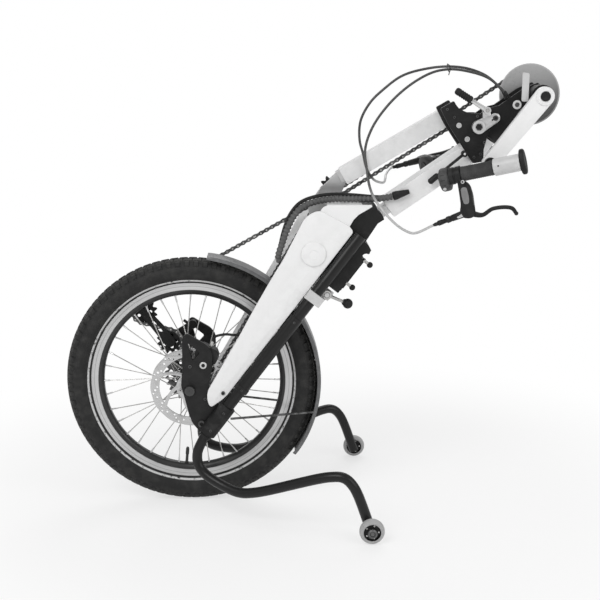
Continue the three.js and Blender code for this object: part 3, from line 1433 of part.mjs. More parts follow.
function makeBrakeBody() {
  const ringRadius = 16;
  const ringStart = -16;
  const ringEnd = rubberStart - gap;
  const podRadius = 22;
  const podStart = -34;
  const podDrop = 4;
  const half = 7;
  const size = 100;
  const outlineShares = [
    [-0.03, -0.12], [-0.04, -0.355], [-0.054, -0.565], [-0.1, -0.68], [-0.06, -0.8], [0.045, -0.83],
    [0.107, -0.83], [0.168, -0.8], [0.18, -0.61], [0.194, -0.4], [0.17, -0.21], [0.055, -0.15],
    [0.055, -0.12],
  ];
  const body = plate(scaled(outlineShares, size, size), -half, half);
  const alongBar = (radius, x0, x1, z = 0) => rod(V3(x0, 0, z), V3(x1, 0, z), radius, 14);
  const nozzle = rod(nozzleRoot, nozzleEnd, nozzleRadius, 10);
  const slotHalf = bladeHalf + gap;
  const slot = box(
    bladePivotX - bladeHub - 2 * gap, size, -slotHalf, slotHalf, -size, bladePivotZ + 2 * bladeHub,
  );
  const hinge = pin(bladePin, -slotHalf - gap, slotHalf + gap, bladePivotX, bladePivotZ, 10);
  const bore = alongBar(barRadius + gap, podStart - overrun, ringEnd + overrun);
  const ring = alongBar(ringRadius, ringStart, ringEnd);
  const pod = alongBar(podRadius, podStart, ringStart + gap, -podDrop);
  return join(cut(join(body, ring, pod, nozzle), bore, slot), hinge);
}

function makeBrakeBlade() {
  // The blade's bends: X, Z and radius, from its pivot.
  const ends = [[0, 0, bladeHub], [19, -6.4, 4.5], [40.8, 2.3, 4.5], [74.6, -4.1, 4.5], [81, -15, 4]];
  const parts = ends.slice(1).map(([x, z, r], i) => plate(
    strap(...ends[i], x, z, r, 3), -bladeHalf, bladeHalf,
  ));
  return cut(join(...parts), pin(bladePin + gap, -bladeHalf - overrun, bladeHalf + overrun, 0, 0, 10));
}

for (const [name, side, roll] of [["near", NEAR, 0], ["far", FAR, turn / 4]]) {
  const spinning = assembly(crank, armEndX, side * armOut, armEndZ);
  const along = gripFrame(side);
  const rolled = gripFrame(side, roll);
  const blade = new THREE.Group();
  blade.position.set(bladePivotX, 0, bladePivotZ);
  blade.userData.home = V3(0, 0, 0);
  rolled.add(blade);
  spinning.add(along, rolled);
  piece(`grip_core_${name}`, makeGripCore(side, along), paleGrip, along);
  piece(`grip_rubber_${name}`, makeGripRubber(), rubber, along);
  piece(`grip_stop_${name}`, makeGripStop(), black, along);
  piece(`brake_body_${name}`, makeBrakeBody(), black, rolled);
  piece(`brake_blade_${name}`, makeBrakeBlade(), black, blade);
}

// The brake hoses and the cable loom, each along its whole route.
handcycle.updateMatrixWorld(true);
const hoseRadius = 2.6;

function nozzleMouth(name, beyond) {
  const body = handcycle.getObjectByName(`brake_body_${name}`);
  const out = nozzleEnd.clone().sub(nozzleRoot).normalize();
  return body.localToWorld(nozzleEnd.clone().addScaledVector(out, beyond));
}

function portMouth(y, beyond) {
  const root = V3(tiltX + blockEndX - portRadius, y, tiltZ + blockTopZ - portRadius);
  const end = V3(portX, y, portZ);
  return end.clone().addScaledVector(end.clone().sub(root).normalize(), beyond);
}

// From the crank axle.
const nearRoute = [
  [-69.2, -20, 12.9], [-94.6, -20, 32.8], [-132.2, -20, 44.8], [-169.1, -20, 49], [-201.7, -20, 43],
  [-242.3, -20, 20.8], [-283.1, -20, -15.6], [-315.1, -22, -60.2], [-329.1, -27, -101.2],
  [-326.7, -38, -138.3], [-321.9, -54, -171.8], [-311.6, -74, -196.2], [-282.4, -90, -231.4],
  [-261.7, -94, -247.7], [-241, -98, -255],
];
const farRoute = [
  [-69.2, -6, 14.5], [-94.6, -4, 36], [-128, 0, 49.5], [-162.9, 8, 54], [-204.6, 18, 50.5],
  [-254.5, 20, 36.5], [-291.8, 20, 9.6], [-316.5, 20, -14.9], [-334.9, 20, -50.1], [-336.6, 19, -87.4],
  [-330, 18, -112.8], [-321, 20, -146], [-307, 30, -166], [-291, 50, -174.5], [-281, 80, -177],
  [-275, 115, -174], [-269, 150, -166],
];

const routeFrom = (x0, z0, route) => route.map(([x, y, z]) => V3(x0 + x, y, z0 + z));

function makeHose(name, route, portY) {
  const points = [
    portMouth(portY, gap), portMouth(portY, hoseRadius), ...routeFrom(crankX, crankZ, route),
    nozzleMouth(name, 4 * hoseRadius), nozzleMouth(name, 2 * gap),
  ];
  return tube(points, hoseRadius, 8, 30);
}
piece("hose_near", makeHose("near", nearRoute, nearPortY), blackPlastic, tilting);
piece("hose_far", makeHose("far", farRoute, farPortY), blackPlastic, tilting);

// A wrapped loom lies from the lower beam over the knuckle to the fork, and a brake hose goes on to the
// caliper.
const loomRadius = 7;
const loomY = lowerBeamY0 - gap - loomRadius;
// From the fold pivot.
const loomRoute = [
  [153, loomY, 105.3], [124, loomY, 100.9], [77, -41, 101.1], [41, -43, 101.5], [7, -50, 97.8],
  [-20.2, -60, 89.1], [-36.8, -64, 72.5], [-48.5, -66, 50.9], [-60.6, -66, 17.6], [-67.8, -66, -9],
  [-64.1, -66, -17.2],
];
// The hose to the caliper: from the fold pivot, then from the axle.
const upperHoseRoute = [[-66, -66, -9.7], [-65, -66, -24.7], [-75, -66, -69.7]];
const lowerHoseRoute = [[140, -65, 147], [118, -64, 115], [100.3, -64, 108.5], [70, -63, 110], [53, -60, 106]];

function makeLoom() {
  const up = V3(Math.cos(caliperTurn), 0, Math.sin(caliperTurn));
  const seat = V3(0, caliperHoseY, axleZ).addScaledVector(up, caliperRadius + caliperDepth / 2 + gap);
  const drop = [3 * loomRadius, gap].map((height) => seat.clone().addScaledVector(up, height));
  const loom = tube(routeFrom(foldX, foldZ, loomRoute), loomRadius, 8, 22);
  const route = [...routeFrom(foldX, foldZ, upperHoseRoute), ...routeFrom(0, axleZ, lowerHoseRoute), ...drop];
  const hose = tube(route, hoseRadius, 6, 20);
  return join(loom, hose);
}
piece("cable_loom", makeLoom(), greyPlastic, frame);

// The part's origin is the middle of its box's base.
handcycle.updateMatrixWorld(true);
const whole = new THREE.Box3().setFromObject(handcycle, true);
handcycle.position.set(-(whole.min.x + whole.max.x) / 2, -(whole.min.y + whole.max.y) / 2, -whole.min.z);
handcycle.updateMatrixWorld(true);
export default handcycle;
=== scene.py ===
import json
import math

import bmesh
import bpy
from mathutils import Matrix, Vector

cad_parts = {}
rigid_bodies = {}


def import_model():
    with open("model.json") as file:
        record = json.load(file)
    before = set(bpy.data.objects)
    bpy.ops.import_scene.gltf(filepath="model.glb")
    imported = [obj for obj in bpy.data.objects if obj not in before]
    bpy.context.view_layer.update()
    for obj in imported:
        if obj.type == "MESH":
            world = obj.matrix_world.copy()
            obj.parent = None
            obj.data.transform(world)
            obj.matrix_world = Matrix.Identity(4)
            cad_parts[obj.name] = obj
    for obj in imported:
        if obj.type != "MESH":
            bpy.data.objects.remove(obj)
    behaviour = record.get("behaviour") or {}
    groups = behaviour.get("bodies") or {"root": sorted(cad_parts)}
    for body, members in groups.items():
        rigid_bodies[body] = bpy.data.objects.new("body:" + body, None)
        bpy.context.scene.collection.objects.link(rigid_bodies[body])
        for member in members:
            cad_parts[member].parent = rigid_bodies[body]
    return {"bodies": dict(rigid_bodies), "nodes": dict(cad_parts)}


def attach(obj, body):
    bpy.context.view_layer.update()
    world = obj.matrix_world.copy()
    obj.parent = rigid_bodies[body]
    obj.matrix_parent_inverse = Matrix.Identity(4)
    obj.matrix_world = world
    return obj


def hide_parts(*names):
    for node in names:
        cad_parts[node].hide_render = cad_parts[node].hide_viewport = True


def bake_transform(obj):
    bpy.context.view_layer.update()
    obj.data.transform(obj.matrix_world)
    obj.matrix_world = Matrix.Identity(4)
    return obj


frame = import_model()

# Shapes are made in millimetres in a side view: X to the rear from the wheel's axle, Z up from the floor,
# and the near side towards -Y.
MM = 0.001
AXLE_X = -240
TURN = 2 * math.pi
ALONG, ACROSS = (1, 0, 0), (0, 1, 0)
NEAR, FAR = -1, 1
NAMES = ((NEAR, "near"), (FAR, "far"))

# Places and sizes, each within 0.3 mm of the CAD model's
WHEEL = 253
AXLE = (0, WHEEL)
FOLD = (243, 524.7)
TILT = (558.8, 763.3)
CRANK = (673, 822)
ARM_END = (574, 697.5)
CHAIN_Y = 45.0
RAIL_Y = 78.6
RAIL_ANGLE = 52.7
LINK = 12.7

scene = bpy.context.scene
own = set(frame["nodes"].values()) | set(frame["bodies"].values())
for leftover in [o for o in bpy.data.objects if o not in own]:
    bpy.data.objects.remove(leftover)
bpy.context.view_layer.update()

# Camera: the photograph's own place and direction, with the object drawn larger
camera_data = bpy.data.cameras.new("camera")
camera_data.sensor_width = 36
camera_data.lens = 66.2
camera = bpy.data.objects.new("camera", camera_data)
scene.collection.objects.link(camera)
camera.location = (-0.076, -2.164, 0.887)
camera.rotation_euler = Vector((0.0247, 0.977, -0.212)).to_track_quat("-Z", "Y").to_euler()
scene.camera = camera


def V(x, y, z):
    return Vector((x, y, z))


def at(x, y, z):
    return Matrix.Translation(V(x, y, z))


def placed(x, y, z):
    """A point of the side view, in metres in the row frame."""
    return ((x + AXLE_X) * MM, y * MM, z * MM)


def tone(value, tint=(1, 1, 1)):
    return tuple(value * t for t in tint) + (1,)


# Materials
class Tree:
    """A node tree, with a few calls that add and link its nodes."""

    def __init__(self, owner, clear=False):
        owner.use_nodes = True
        self.tree = owner.node_tree
        if clear:
            self.tree.nodes.clear()

    def node(self, kind, *sources, **settings):
        """A new node whose first inputs are fed from sources."""
        made = self.tree.nodes.new(kind)
        for key, value in settings.items():
            setattr(made, key, value)
        for socket, value in zip(made.inputs, sources):
            self.feed(socket, value)
        return made

    def feed(self, socket, value):
        if hasattr(value, "is_output"):
            self.tree.links.new(value, socket)
        else:
            socket.default_value = value

    def maths(self, operation, *values):
        return self.node("ShaderNodeMath", *values, operation=operation).outputs["Value"]

    def spread(self, value, low, high, to_low=0.0, to_high=1.0, smooth=False):
        kind = "SMOOTHSTEP" if smooth else "LINEAR"
        made = self.node("ShaderNodeMapRange", value, low, high, to_low, to_high, interpolation_type=kind)
        return made.outputs["Result"]

    def rays(self, *kinds):
        """1 for a ray of any of these kinds."""
        seen = self.node("ShaderNodeLightPath").outputs
        share = seen[kinds[0]]
        for kind in kinds[1:]:
            share = self.maths("MAXIMUM", share, seen[kind])
        return share


class Finish(Tree):
    """A material under construction."""

    def __init__(self, name):
        self.material = bpy.data.materials.new(name)
        super().__init__(self.material)
        self.shader = self.tree.nodes["Principled BSDF"]
        self.place = self.node("ShaderNodeTexCoord").outputs["Object"]

    def noise(self, scale, detail=3.0, stretch=(1, 1, 1), offset=(0, 0, 0)):
        mapping = self.node("ShaderNodeMapping", self.place)
        mapping.inputs["Scale"].default_value = stretch
        mapping.inputs["Location"].default_value = offset
        made = self.node("ShaderNodeTexNoise", mapping.outputs["Vector"])
        made.inputs["Scale"].default_value = scale
        made.inputs["Detail"].default_value = detail
        made.inputs["Roughness"].default_value = 0.55
        return made.outputs["Fac"]

    def band(self, value, low, high, soft):
        """1 between low and high, with edges as wide as soft."""
        rise, fall = self.spread(value, low, low + soft), self.spread(value, high, high - soft)
        return self.maths("MULTIPLY", rise, fall)

    def mix(self, share, a, b):
        made = self.node("ShaderNodeMix", data_type="RGBA")
        self.feed(made.inputs["Factor"], share)
        self.feed(made.inputs["A"], a)
        self.feed(made.inputs["B"], b)
        return made.outputs["Result"]

    def clouds(self, scale, detail, dark, light, tint=(1, 1, 1)):
        """Two tones of one colour in soft patches."""
        return self.mix(self.spread(self.noise(scale, detail), 0.3, 0.7), tone(dark, tint), tone(light, tint))

    def polar(self, x, z):
        """The distance in metres from an axis across the side view, and the angle round it."""
        parts = self.node("ShaderNodeSeparateXYZ", self.place).outputs
        dx = self.maths("SUBTRACT", parts["X"], (x + AXLE_X) * MM)
        dz = self.maths("SUBTRACT", parts["Z"], z * MM)
        square = self.maths("ADD", self.maths("MULTIPLY", dx, dx), self.maths("MULTIPLY", dz, dz))
        return self.maths("SQRT", square), self.maths("ARCTAN2", dz, dx)

    def bump(self, height, depth, strength=1.0):
        made = self.node("ShaderNodeBump")
        made.inputs["Strength"].default_value = strength
        made.inputs["Distance"].default_value = depth * MM
        self.feed(made.inputs["Height"], height)
        self.feed(self.shader.inputs["Normal"], made.outputs["Normal"])

    def finish(self, colour, rough, metal=0.0, coat=0.0, specular=0.5):
        self.feed(self.shader.inputs["Base Color"], colour)
        self.feed(self.shader.inputs["Roughness"], rough)
        self.feed(self.shader.inputs["Metallic"], metal)
        self.shader.inputs["Coat Weight"].default_value = coat
        self.shader.inputs["Coat Roughness"].default_value = 0.12
        self.shader.inputs["Specular IOR Level"].default_value = specular
        return self.material


def coating(
    name, value, rough, metal=0.0, tint=(1, 1, 1), vary=0.06, grain=1400, depth=0.03, stretch=(1, 1, 1),
    coat=0.0, specular=0.5, rub=0.7,
):
    """A surface with cloudy tone and gloss, a fine grain, and edges rubbed towards another tone."""
    n = Finish(name)
    colour = n.clouds(9, 4, value * (1 - vary), value * (1 + vary), tint)
    fleck = n.noise(230, 2, stretch, offset=(3, 1, 2))
    colour = n.mix(n.spread(fleck, 0.56, 0.74, 0, 0.3), colour, tone(value * (1 - 3 * vary), tint))
    if rub:
        point = n.node("ShaderNodeNewGeometry").outputs["Pointiness"]
        worn = n.maths("MULTIPLY", n.spread(point, 0.52, 0.6), n.spread(n.noise(70, 3), 0.42, 0.66))
        colour = n.mix(n.maths("MULTIPLY", worn, 0.7), colour, tone(rub, tint))
    gloss = n.noise(24, 4, stretch, offset=(1, 5, 3))
    n.bump(n.noise(grain, 2, stretch), depth)
    return n.finish(
        colour, n.spread(gloss, 0.3, 0.7, rough * 0.82, min(1, rough * 1.2)), metal, coat, specular
    )


# Black finishes share a low sheen, and brushed metal's grain is drawn out along X.
low_sheen = {"specular": 0.25}
mid_sheen = {"specular": 0.35}
brushed = {"stretch": (0.12, 1, 1)}
white = coating("powder_coat_white", 0.86, 0.38, vary=0.015, grain=1100, depth=0.035, coat=0.2, rub=0.66)
black_metal = coating("anodised_black", 0.012, 0.45, vary=0.2, grain=1900, depth=0.02, rub=0.05, **low_sheen)
black_rail = coating(
    "painted_black_tube", 0.01, 0.36, vary=0.18, grain=900, depth=0.02, coat=0.12, rub=0.04, **low_sheen
)
black_plastic = coating(
    "moulded_black", 0.015, 0.55, vary=0.16, grain=2600, depth=0.05, rub=0.045, **low_sheen
)
dark_grey = coating("moulded_dark_grey", 0.05, 0.5, vary=0.12, grain=2600, depth=0.05, rub=0.12, **mid_sheen)
aluminium = coating(
    "brushed_aluminium", 0.62, 0.3, 0.85, vary=0.07, grain=2400, depth=0.012, rub=0.75, **brushed
)
steel = coating("zinc_steel", 0.5, 0.32, 0.9, (1, 0.99, 0.97), vary=0.12, grain=1700, depth=0.015)
dark_steel = coating("phosphate_steel", 0.07, 0.42, 0.7, vary=0.2, grain=1500, rub=0.25, **mid_sheen)
pale = coating("pale_moulding", 0.58, 0.45, vary=0.03, grain=2000, coat=0.1)
grey_plastic = coating(
    "grey_mudguard", 0.115, 0.46, tint=(1, 1.01, 1.03), vary=0.07, grain=1600, depth=0.04, rub=0.24, coat=0.15
)
# A pale satin grey, used only on the brake bodies' raised panels, which are a painted highlight.
painted_highlight_grey = coating("painted_highlight_satin_grey", 0.22, 0.4, 0.3, vary=0.08, grain=2200, depth=0.02, rub=0.4)
wrap = coating("spiral_wrap", 0.085, 0.5, vary=0.18, grain=1800, depth=0.04, rub=0.2, **mid_sheen)
pale_tyre = coating("caster_tyre", 0.4, 0.5, grain=1500, depth=0.05, rub=None)


def tyre_rubber():
    """Dusty rubber, paler on the blocks' crown, with a worn pale band by the rim. Radii are in metres."""
    n = Finish("tyre_rubber")
    r, around = n.polar(*AXLE)
    dust = n.spread(n.noise(60, 5, offset=(4, 0, 1)), 0.42, 0.72)
    colour = n.mix(dust, tone(0.02), tone(0.043, (1, 0.99, 0.96)))
    tread = n.maths("SUBTRACT", 1, n.spread(r, 0.2496, 0.2524, smooth=True))
    crown = n.maths("MULTIPLY", n.spread(r, 0.244, 0.2485, smooth=True), tread)
    colour = n.mix(n.maths("MULTIPLY", crown, 0.6), colour, tone(0.08, (1, 0.99, 0.95)))
    scuffed = n.spread(n.noise(160, 3), 0.3, 0.44)
    line = n.maths("MULTIPLY", n.band(r, 0.2063, 0.2103, 0.0005), scuffed)
    colour = n.mix(line, colour, tone(0.62))
    ribs = n.maths("SINE", n.maths("MULTIPLY", around, 420))
    ribbed_wall = n.maths("MULTIPLY", ribs, n.band(r, 0.226, 0.241, 0.002))
    n.bump(n.maths("ADD", ribbed_wall, n.noise(1500, 3)), 0.12, 0.6)
    return n.finish(colour, n.spread(dust, 0, 1, 0.6, 0.8), specular=0.25)


def rim_metal():
    """Black paint inside, and bright turned metal outside with a thin dark line. Radii are in metres."""
    n = Finish("two_tone_rim")
    r = n.polar(*AXLE)[0]
    bright = n.spread(r, 0.1884, 0.1890)
    turned_marks = n.noise(1, 3, (4, 900, 4), offset=(0, 0, 3))
    silver = n.mix(n.spread(turned_marks, 0.3, 0.7), tone(0.5), tone(0.66))
    line = n.band(r, 0.1958, 0.1969, 0.0003)
    silver = n.mix(n.maths("MULTIPLY", line, 0.6), silver, tone(0.12))
    n.bump(n.noise(1200, 2), 0.015)
    colour = n.mix(bright, n.clouds(30, 4, 0.015, 0.03), silver)
    rough = n.spread(n.noise(40, 3), 0.3, 0.7, 0.28, 0.4)
    return n.finish(colour, rough, n.maths("MULTIPLY", bright, 0.55))


def brushed_disc(name, centre, value, rough):
    """Steel ground in circles round an axis, with cloudy stains."""
    n = Finish(name)
    r = n.polar(*centre)[0]
    rings = n.node("ShaderNodeTexNoise", noise_dimensions="1D")
    rings.inputs["Scale"].default_value = 2600
    n.feed(rings.inputs["W"], r)
    ring = rings.outputs["Fac"]
    colour = n.mix(n.spread(ring, 0.3, 0.7), tone(value * 0.82), tone(value * 1.1))
    colour = n.mix(n.spread(n.noise(45, 4), 0.5, 0.75, 0, 0.4), colour, tone(value * 0.55, (1, 0.97, 0.92)))
    n.bump(ring, 0.02, 0.6)
    return n.finish(colour, n.spread(ring, 0.3, 0.7, rough * 0.8, rough * 1.25), 0.85)


def smoked():
    """A smoked disc with painted light that makes it paler towards its upper front, and a pale rim line."""
    n = Finish("smoked_disc")
    r = n.polar(*CRANK)[0]
    parts = n.node("ShaderNodeSeparateXYZ", n.place).outputs
    # Painted light: the tone rises from dark to pale towards the disc's upper front.
    slope = n.maths("SUBTRACT", parts["Z"], n.maths("MULTIPLY", parts["X"], 0.5))
    colour = n.mix(n.spread(slope, 0.535, 0.675, smooth=True), tone(0.06), tone(0.42))
    colour = n.mix(n.spread(n.noise(300, 2), 0.5, 0.8, 0, 0.2), colour, tone(0.2))
    colour = n.mix(n.maths("MULTIPLY", n.spread(r, 0.0568, 0.0575), 0.5), colour, tone(0.5))
    n.bump(n.noise(700, 2), 0.01)
    return n.finish(colour, n.spread(n.noise(20, 3), 0.3, 0.7, 0.2, 0.32), coat=0.3)


def grip_rubber():
    n = Finish("grip_rubber")
    cells = n.node("ShaderNodeTexVoronoi", n.place)
    cells.inputs["Scale"].default_value = 520
    n.bump(cells.outputs["Distance"], 0.25, 0.7)
    worn = n.spread(n.noise(30, 4), 0.4, 0.7)
    return n.finish(n.mix(worn, tone(0.035), tone(0.06)), n.spread(worn, 0, 1, 0.75, 0.6), specular=0.35)


def two_part_hose(name, along, start, end):
    """A dark hose that turns into a clear one with its braid showing, past a place on one axis in metres."""
    n = Finish(name)
    clear = n.spread(n.node("ShaderNodeSeparateXYZ", n.place).outputs[along], start, end, smooth=True)
    weave = n.noise(900, 2)
    braid = n.mix(n.spread(weave, 0.4, 0.6), tone(0.4), tone(0.62))
    n.bump(weave, 0.04)
    colour = n.mix(clear, n.clouds(300, 2, 0.03, 0.055), braid)
    return n.finish(colour, n.spread(weave, 0.3, 0.7, 0.3, 0.45), coat=0.2)


tyre_look = tyre_rubber()
rim_look = rim_metal()
rotor_look = brushed_disc("ground_rotor", AXLE, 0.6, 0.28)
cog_look = brushed_disc("ground_cogs", AXLE, 0.12, 0.36)
ring_look = brushed_disc("ground_chainring", CRANK, 0.3, 0.34)
smoke_look = smoked()
grip_look = grip_rubber()


# Shapes
def steer(aim, origin):
    """A frame whose Z runs along aim."""
    turned_to = V(0, 0, 1).rotation_difference(aim.normalized())
    return Matrix.Translation(origin) @ turned_to.to_matrix().to_4x4()


def polar(radius, angle, x=0.0, z=0.0):
    return (x + radius * math.cos(angle), z + radius * math.sin(angle))


def spots(count, radius, x=0.0, z=0.0, start=0.0):
    """Points evenly round a centre."""
    return [polar(radius, TURN * i / count + start, x, z) for i in range(count)]


def circle(radius, sides, x=0.0, z=0.0):
    return spots(sides, radius, x, z)


def strap(x0, z0, r0, x1, z1, r1, steps=14):
    """The outline of a band round two circles."""
    heading = math.atan2(z1 - z0, x1 - x0)
    lean = math.acos((r0 - r1) / math.hypot(x1 - x0, z1 - z0))
    ends = (
        (x1, z1, r1, heading - lean, heading + lean),
        (x0, z0, r0, heading + lean, heading - lean + TURN),
    )
    return [polar(r, a + (b - a) * i / steps, x, z) for x, z, r, a, b in ends for i in range(steps + 1)]


def rounded(outline, radius, steps=6):
    """An outline with its corners drawn as curves."""
    made = []
    for i, corner in enumerate(outline):
        c = Vector(corner)
        before, after = Vector(outline[i - 1]) - c, Vector(outline[(i + 1) % len(outline)]) - c
        reach = min(radius, before.length / 2.2, after.length / 2.2)
        start, end = c + before.normalized() * reach, c + after.normalized() * reach
        for k in range(steps + 1):
            t = k / steps
            p = start * (1 - t) ** 2 + c * 2 * t * (1 - t) + end * t * t
            made.append((p.x, p.y))
    return made


def ahead(line, i):
    """The way that a line runs at one of its points."""
    return line[min(i + 1, len(line) - 1)] - line[max(i - 1, 0)]


def ribbon(points, radii, step=1.5):
    """The outline of a band that runs through points in side view, as wide as its radii ask."""
    marks = [V(x, 0, z) for x, z in points]
    line = path_through(marks, step)
    reach = [0.0]
    for a, b in zip(line, line[1:]):
        reach.append(reach[-1] + (b - a).length)
    stations = [min(range(len(line)), key=lambda i, mark=mark: (line[i] - mark).length) for mark in marks]
    left, right = [], []
    for i, p in enumerate(line):
        k = max(j for j, s in enumerate(stations[:-1]) if s <= i)
        start, end = reach[stations[k]], reach[stations[k + 1]]
        share = min(1.0, (reach[i] - start) / max(1e-6, end - start))
        r = radii[k] + (radii[k + 1] - radii[k]) * share
        aim = ahead(line, i).normalized()
        left.append((p.x - aim.z * r, p.z + aim.x * r))
        right.append((p.x + aim.z * r, p.z - aim.x * r))

    def cap(p, aim, r):
        heading = math.atan2(aim.z, aim.x)
        return [polar(r, heading + math.radians(turn), p.x, p.z) for turn in range(-75, 76, 15)]

    end = cap(line[-1], line[-1] - line[-2], radii[-1])
    start = cap(line[0], line[0] - line[1], radii[0])
    return right + end + left[::-1] + start


def scaled(shares, size, height=None):
    return [(u * size, v * (height or size)) for u, v in shares]


def path_through(points, step):
    """Points a step apart on a centripetal curve through the given ones."""
    pts = [Vector(p) for p in points]
    pts = [pts[0] * 2 - pts[1]] + pts + [pts[-1] * 2 - pts[-2]]
    made = []
    for p0, p1, p2, p3 in zip(pts, pts[1:], pts[2:], pts[3:]):
        t0 = 0.0
        t1 = t0 + (p1 - p0).length ** 0.5
        t2 = t1 + (p2 - p1).length ** 0.5
        t3 = t2 + (p3 - p2).length ** 0.5

        def between(a, b, start, end, t):
            return a * ((end - t) / (end - start)) + b * ((t - start) / (end - start))

        count = max(1, round((p2 - p1).length / step))
        for k in range(count):
            t = t1 + (t2 - t1) * k / count
            a1, a2, a3 = between(p0, p1, t0, t1, t), between(p1, p2, t1, t2, t), between(p2, p3, t2, t3, t)
            b1, b2 = between(a1, a2, t0, t2, t), between(a2, a3, t1, t3, t)
            made.append(between(b1, b2, t1, t2, t))
    made.append(pts[-2])
    return made


def span(side, inner, outer):
    """The two distances from the middle plane on one side, in the order of Y."""
    return sorted((side * inner, side * outer))


class Shape:
    """Faces gathered in millimetres, each with the number of its material."""

    def __init__(self):
        self.verts, self.faces, self.looks = [], [], []

    def add(self, verts, faces, look=0, place=None):
        base = len(self.verts)
        self.verts += [place @ Vector(v) if place else Vector(v) for v in verts]
        self.faces += [[base + i for i in face] for face in faces]
        self.looks += [look] * len(faces)
        return self

    def loft(self, rings, look=0, place=None, ring_closed=True, run_closed=False):
        """Faces from each ring of points to the next, with a cap on each end of an open run."""
        n, count = len(rings[0]), len(rings)
        faces = []
        for i in range(count if run_closed else count - 1):
            here, beyond = i * n, (i + 1) % count * n
            for j in range(n if ring_closed else n - 1):
                k = (j + 1) % n
                faces.append([here + j, here + k, beyond + k, beyond + j])
        if not run_closed:
            faces += [list(range(n))[::-1], list(range((count - 1) * n, count * n))]
        return self.add([p for ring in rings for p in ring], faces, look, place)

    def turned(self, profile, origin, aim, sides=32, look=0, place=None):
        """A profile of (radius, length along aim), turned round aim."""
        to = steer(Vector(aim), Vector(origin))
        verts, faces, rings = [], [], []
        for r, along in profile:
            on_axis = r < 1e-6
            rings.append([len(verts) + i for i in range(1 if on_axis else sides)])
            ring = [(0, 0)] if on_axis else circle(r, sides)
            verts += [to @ V(x, y, along) for x, y in ring]
        pairs = list(zip(rings, rings[1:]))
        if len(rings[0]) > 1 and len(rings[-1]) > 1:
            pairs.append((rings[-1], rings[0]))
        for a, b in pairs:
            for i in range(sides):
                k = (i + 1) % sides
                if len(a) == 1 and len(b) == 1:
                    continue
                if len(a) == 1:
                    faces.append([a[0], b[i], b[k]])
                elif len(b) == 1:
                    faces.append([a[i], b[0], a[k]])
                else:
                    faces.append([a[i], b[i], b[k], a[k]])
        return self.add(verts, faces, look, place)

    def pin(self, radius, y0, y1, x, z, sides=24, look=0, edge=0.5, place=None):
        """A round pin across the side view, with its rims softened."""
        long = y1 - y0
        profile = [
            (0, 0), (radius - edge, 0), (radius, edge), (radius, long - edge), (radius - edge, long),
            (0, long),
        ]
        return self.turned(profile, (x, y0, z), ACROSS, sides, look, place)

    def ring(self, outer, inner, y0, y1, x, z, sides=32, look=0, edge=0.5, place=None):
        """A pin with a bore."""
        long = y1 - y0
        profile = [
            (inner, edge), (inner + edge, 0), (outer - edge, 0), (outer, edge), (outer, long - edge),
            (outer - edge, long), (inner + edge, long), (inner, long - edge),
        ]
        return self.turned(profile, (x, y0, z), ACROSS, sides, look, place)

    def tube(self, points, radius, sides=12, look=0, place=None):
        """A round tube along close points. The radius may be one for each point."""
        pts = [Vector(p) for p in points]
        radii = radius if isinstance(radius, list) else [radius] * len(pts)
        aim = (pts[1] - pts[0]).normalized()
        side = aim.orthogonal().normalized()
        rings = []
        for i, (p, r) in enumerate(zip(pts, radii)):
            heading = ahead(pts, i).normalized()
            side = aim.rotation_difference(heading) @ side
            aim = heading
            other = aim.cross(side)
            rings.append([p + (side * x + other * y) * r for x, y in circle(1, sides)])
        return self.loft(rings, look, place)

    def plate(self, outlines, y0, y1, look=0, edge=0.6, place=None):
        """A plate with holes, as outlines seen from the side, with its rims softened."""
        curve = bpy.data.curves.new("outline", "CURVE")
        curve.dimensions, curve.fill_mode = "2D", "BOTH"
        curve.extrude = (y1 - y0) / 2 - edge
        curve.bevel_depth, curve.bevel_resolution, curve.offset = edge, 1, -edge
        for outline in outlines:
            spline = curve.splines.new("POLY")
            spline.points.add(len(outline) - 1)
            for point, (x, z) in zip(spline.points, outline):
                point.co = (x, z, 0, 1)
            spline.use_cyclic_u = True
        holder = bpy.data.objects.new("outline", curve)
        scene.collection.objects.link(holder)
        mesh = bpy.data.meshes.new_from_object(holder.evaluated_get(bpy.context.evaluated_depsgraph_get()))
        mid = (y0 + y1) / 2
        verts = [V(v.co.x, mid - v.co.z, v.co.y) for v in mesh.vertices]
        faces = [list(p.vertices) for p in mesh.polygons]
        bpy.data.objects.remove(holder)
        bpy.data.curves.remove(curve)
        bpy.data.meshes.remove(mesh)
        return self.add(verts, faces, look, place)

    def ball(self, radius, centre, look=0, place=None, rings=12):
        angles = [math.pi * i / rings for i in range(rings + 1)]
        arc = [(radius * math.sin(a), -radius * math.cos(a)) for a in angles]
        return self.turned(arc, centre, (0, 0, 1), 2 * rings, look, place)

    def bolt(self, x, z, y, side, radius=4.0, height=3.0, look=0, socket=1, place=None):
        """A round bolt head on a face that looks along side * Y, with its hexagonal socket lined in the look
        socket; where that look is darker than the head, it is painted shade.
        """
        e, inner, floor = 0.12 * radius, 0.55 * radius, 0.45 * height
        head = [
            (0, 0), (radius - e, 0), (radius, e), (radius, height - e), (radius - e, height),
            (inner, height), (inner, floor), (0, floor),
        ]
        self.turned(head, (x, y, z), (0, side, 0), 24, look, place)
        clear, brim = 0.02, height - 0.11 * height
        # The socket's lining takes its own look, mostly darker than the head: painted shade in the recess.
        dark = [
            (0, floor + 0.05), (inner - clear, floor + 0.05), (inner - clear, brim),
            (0.5 * radius, brim), (0.5 * radius, floor + 0.2), (0, floor + 0.2),
        ]
        return self.turned(dark, (x, y, z), (0, side, 0), 6, socket, place)


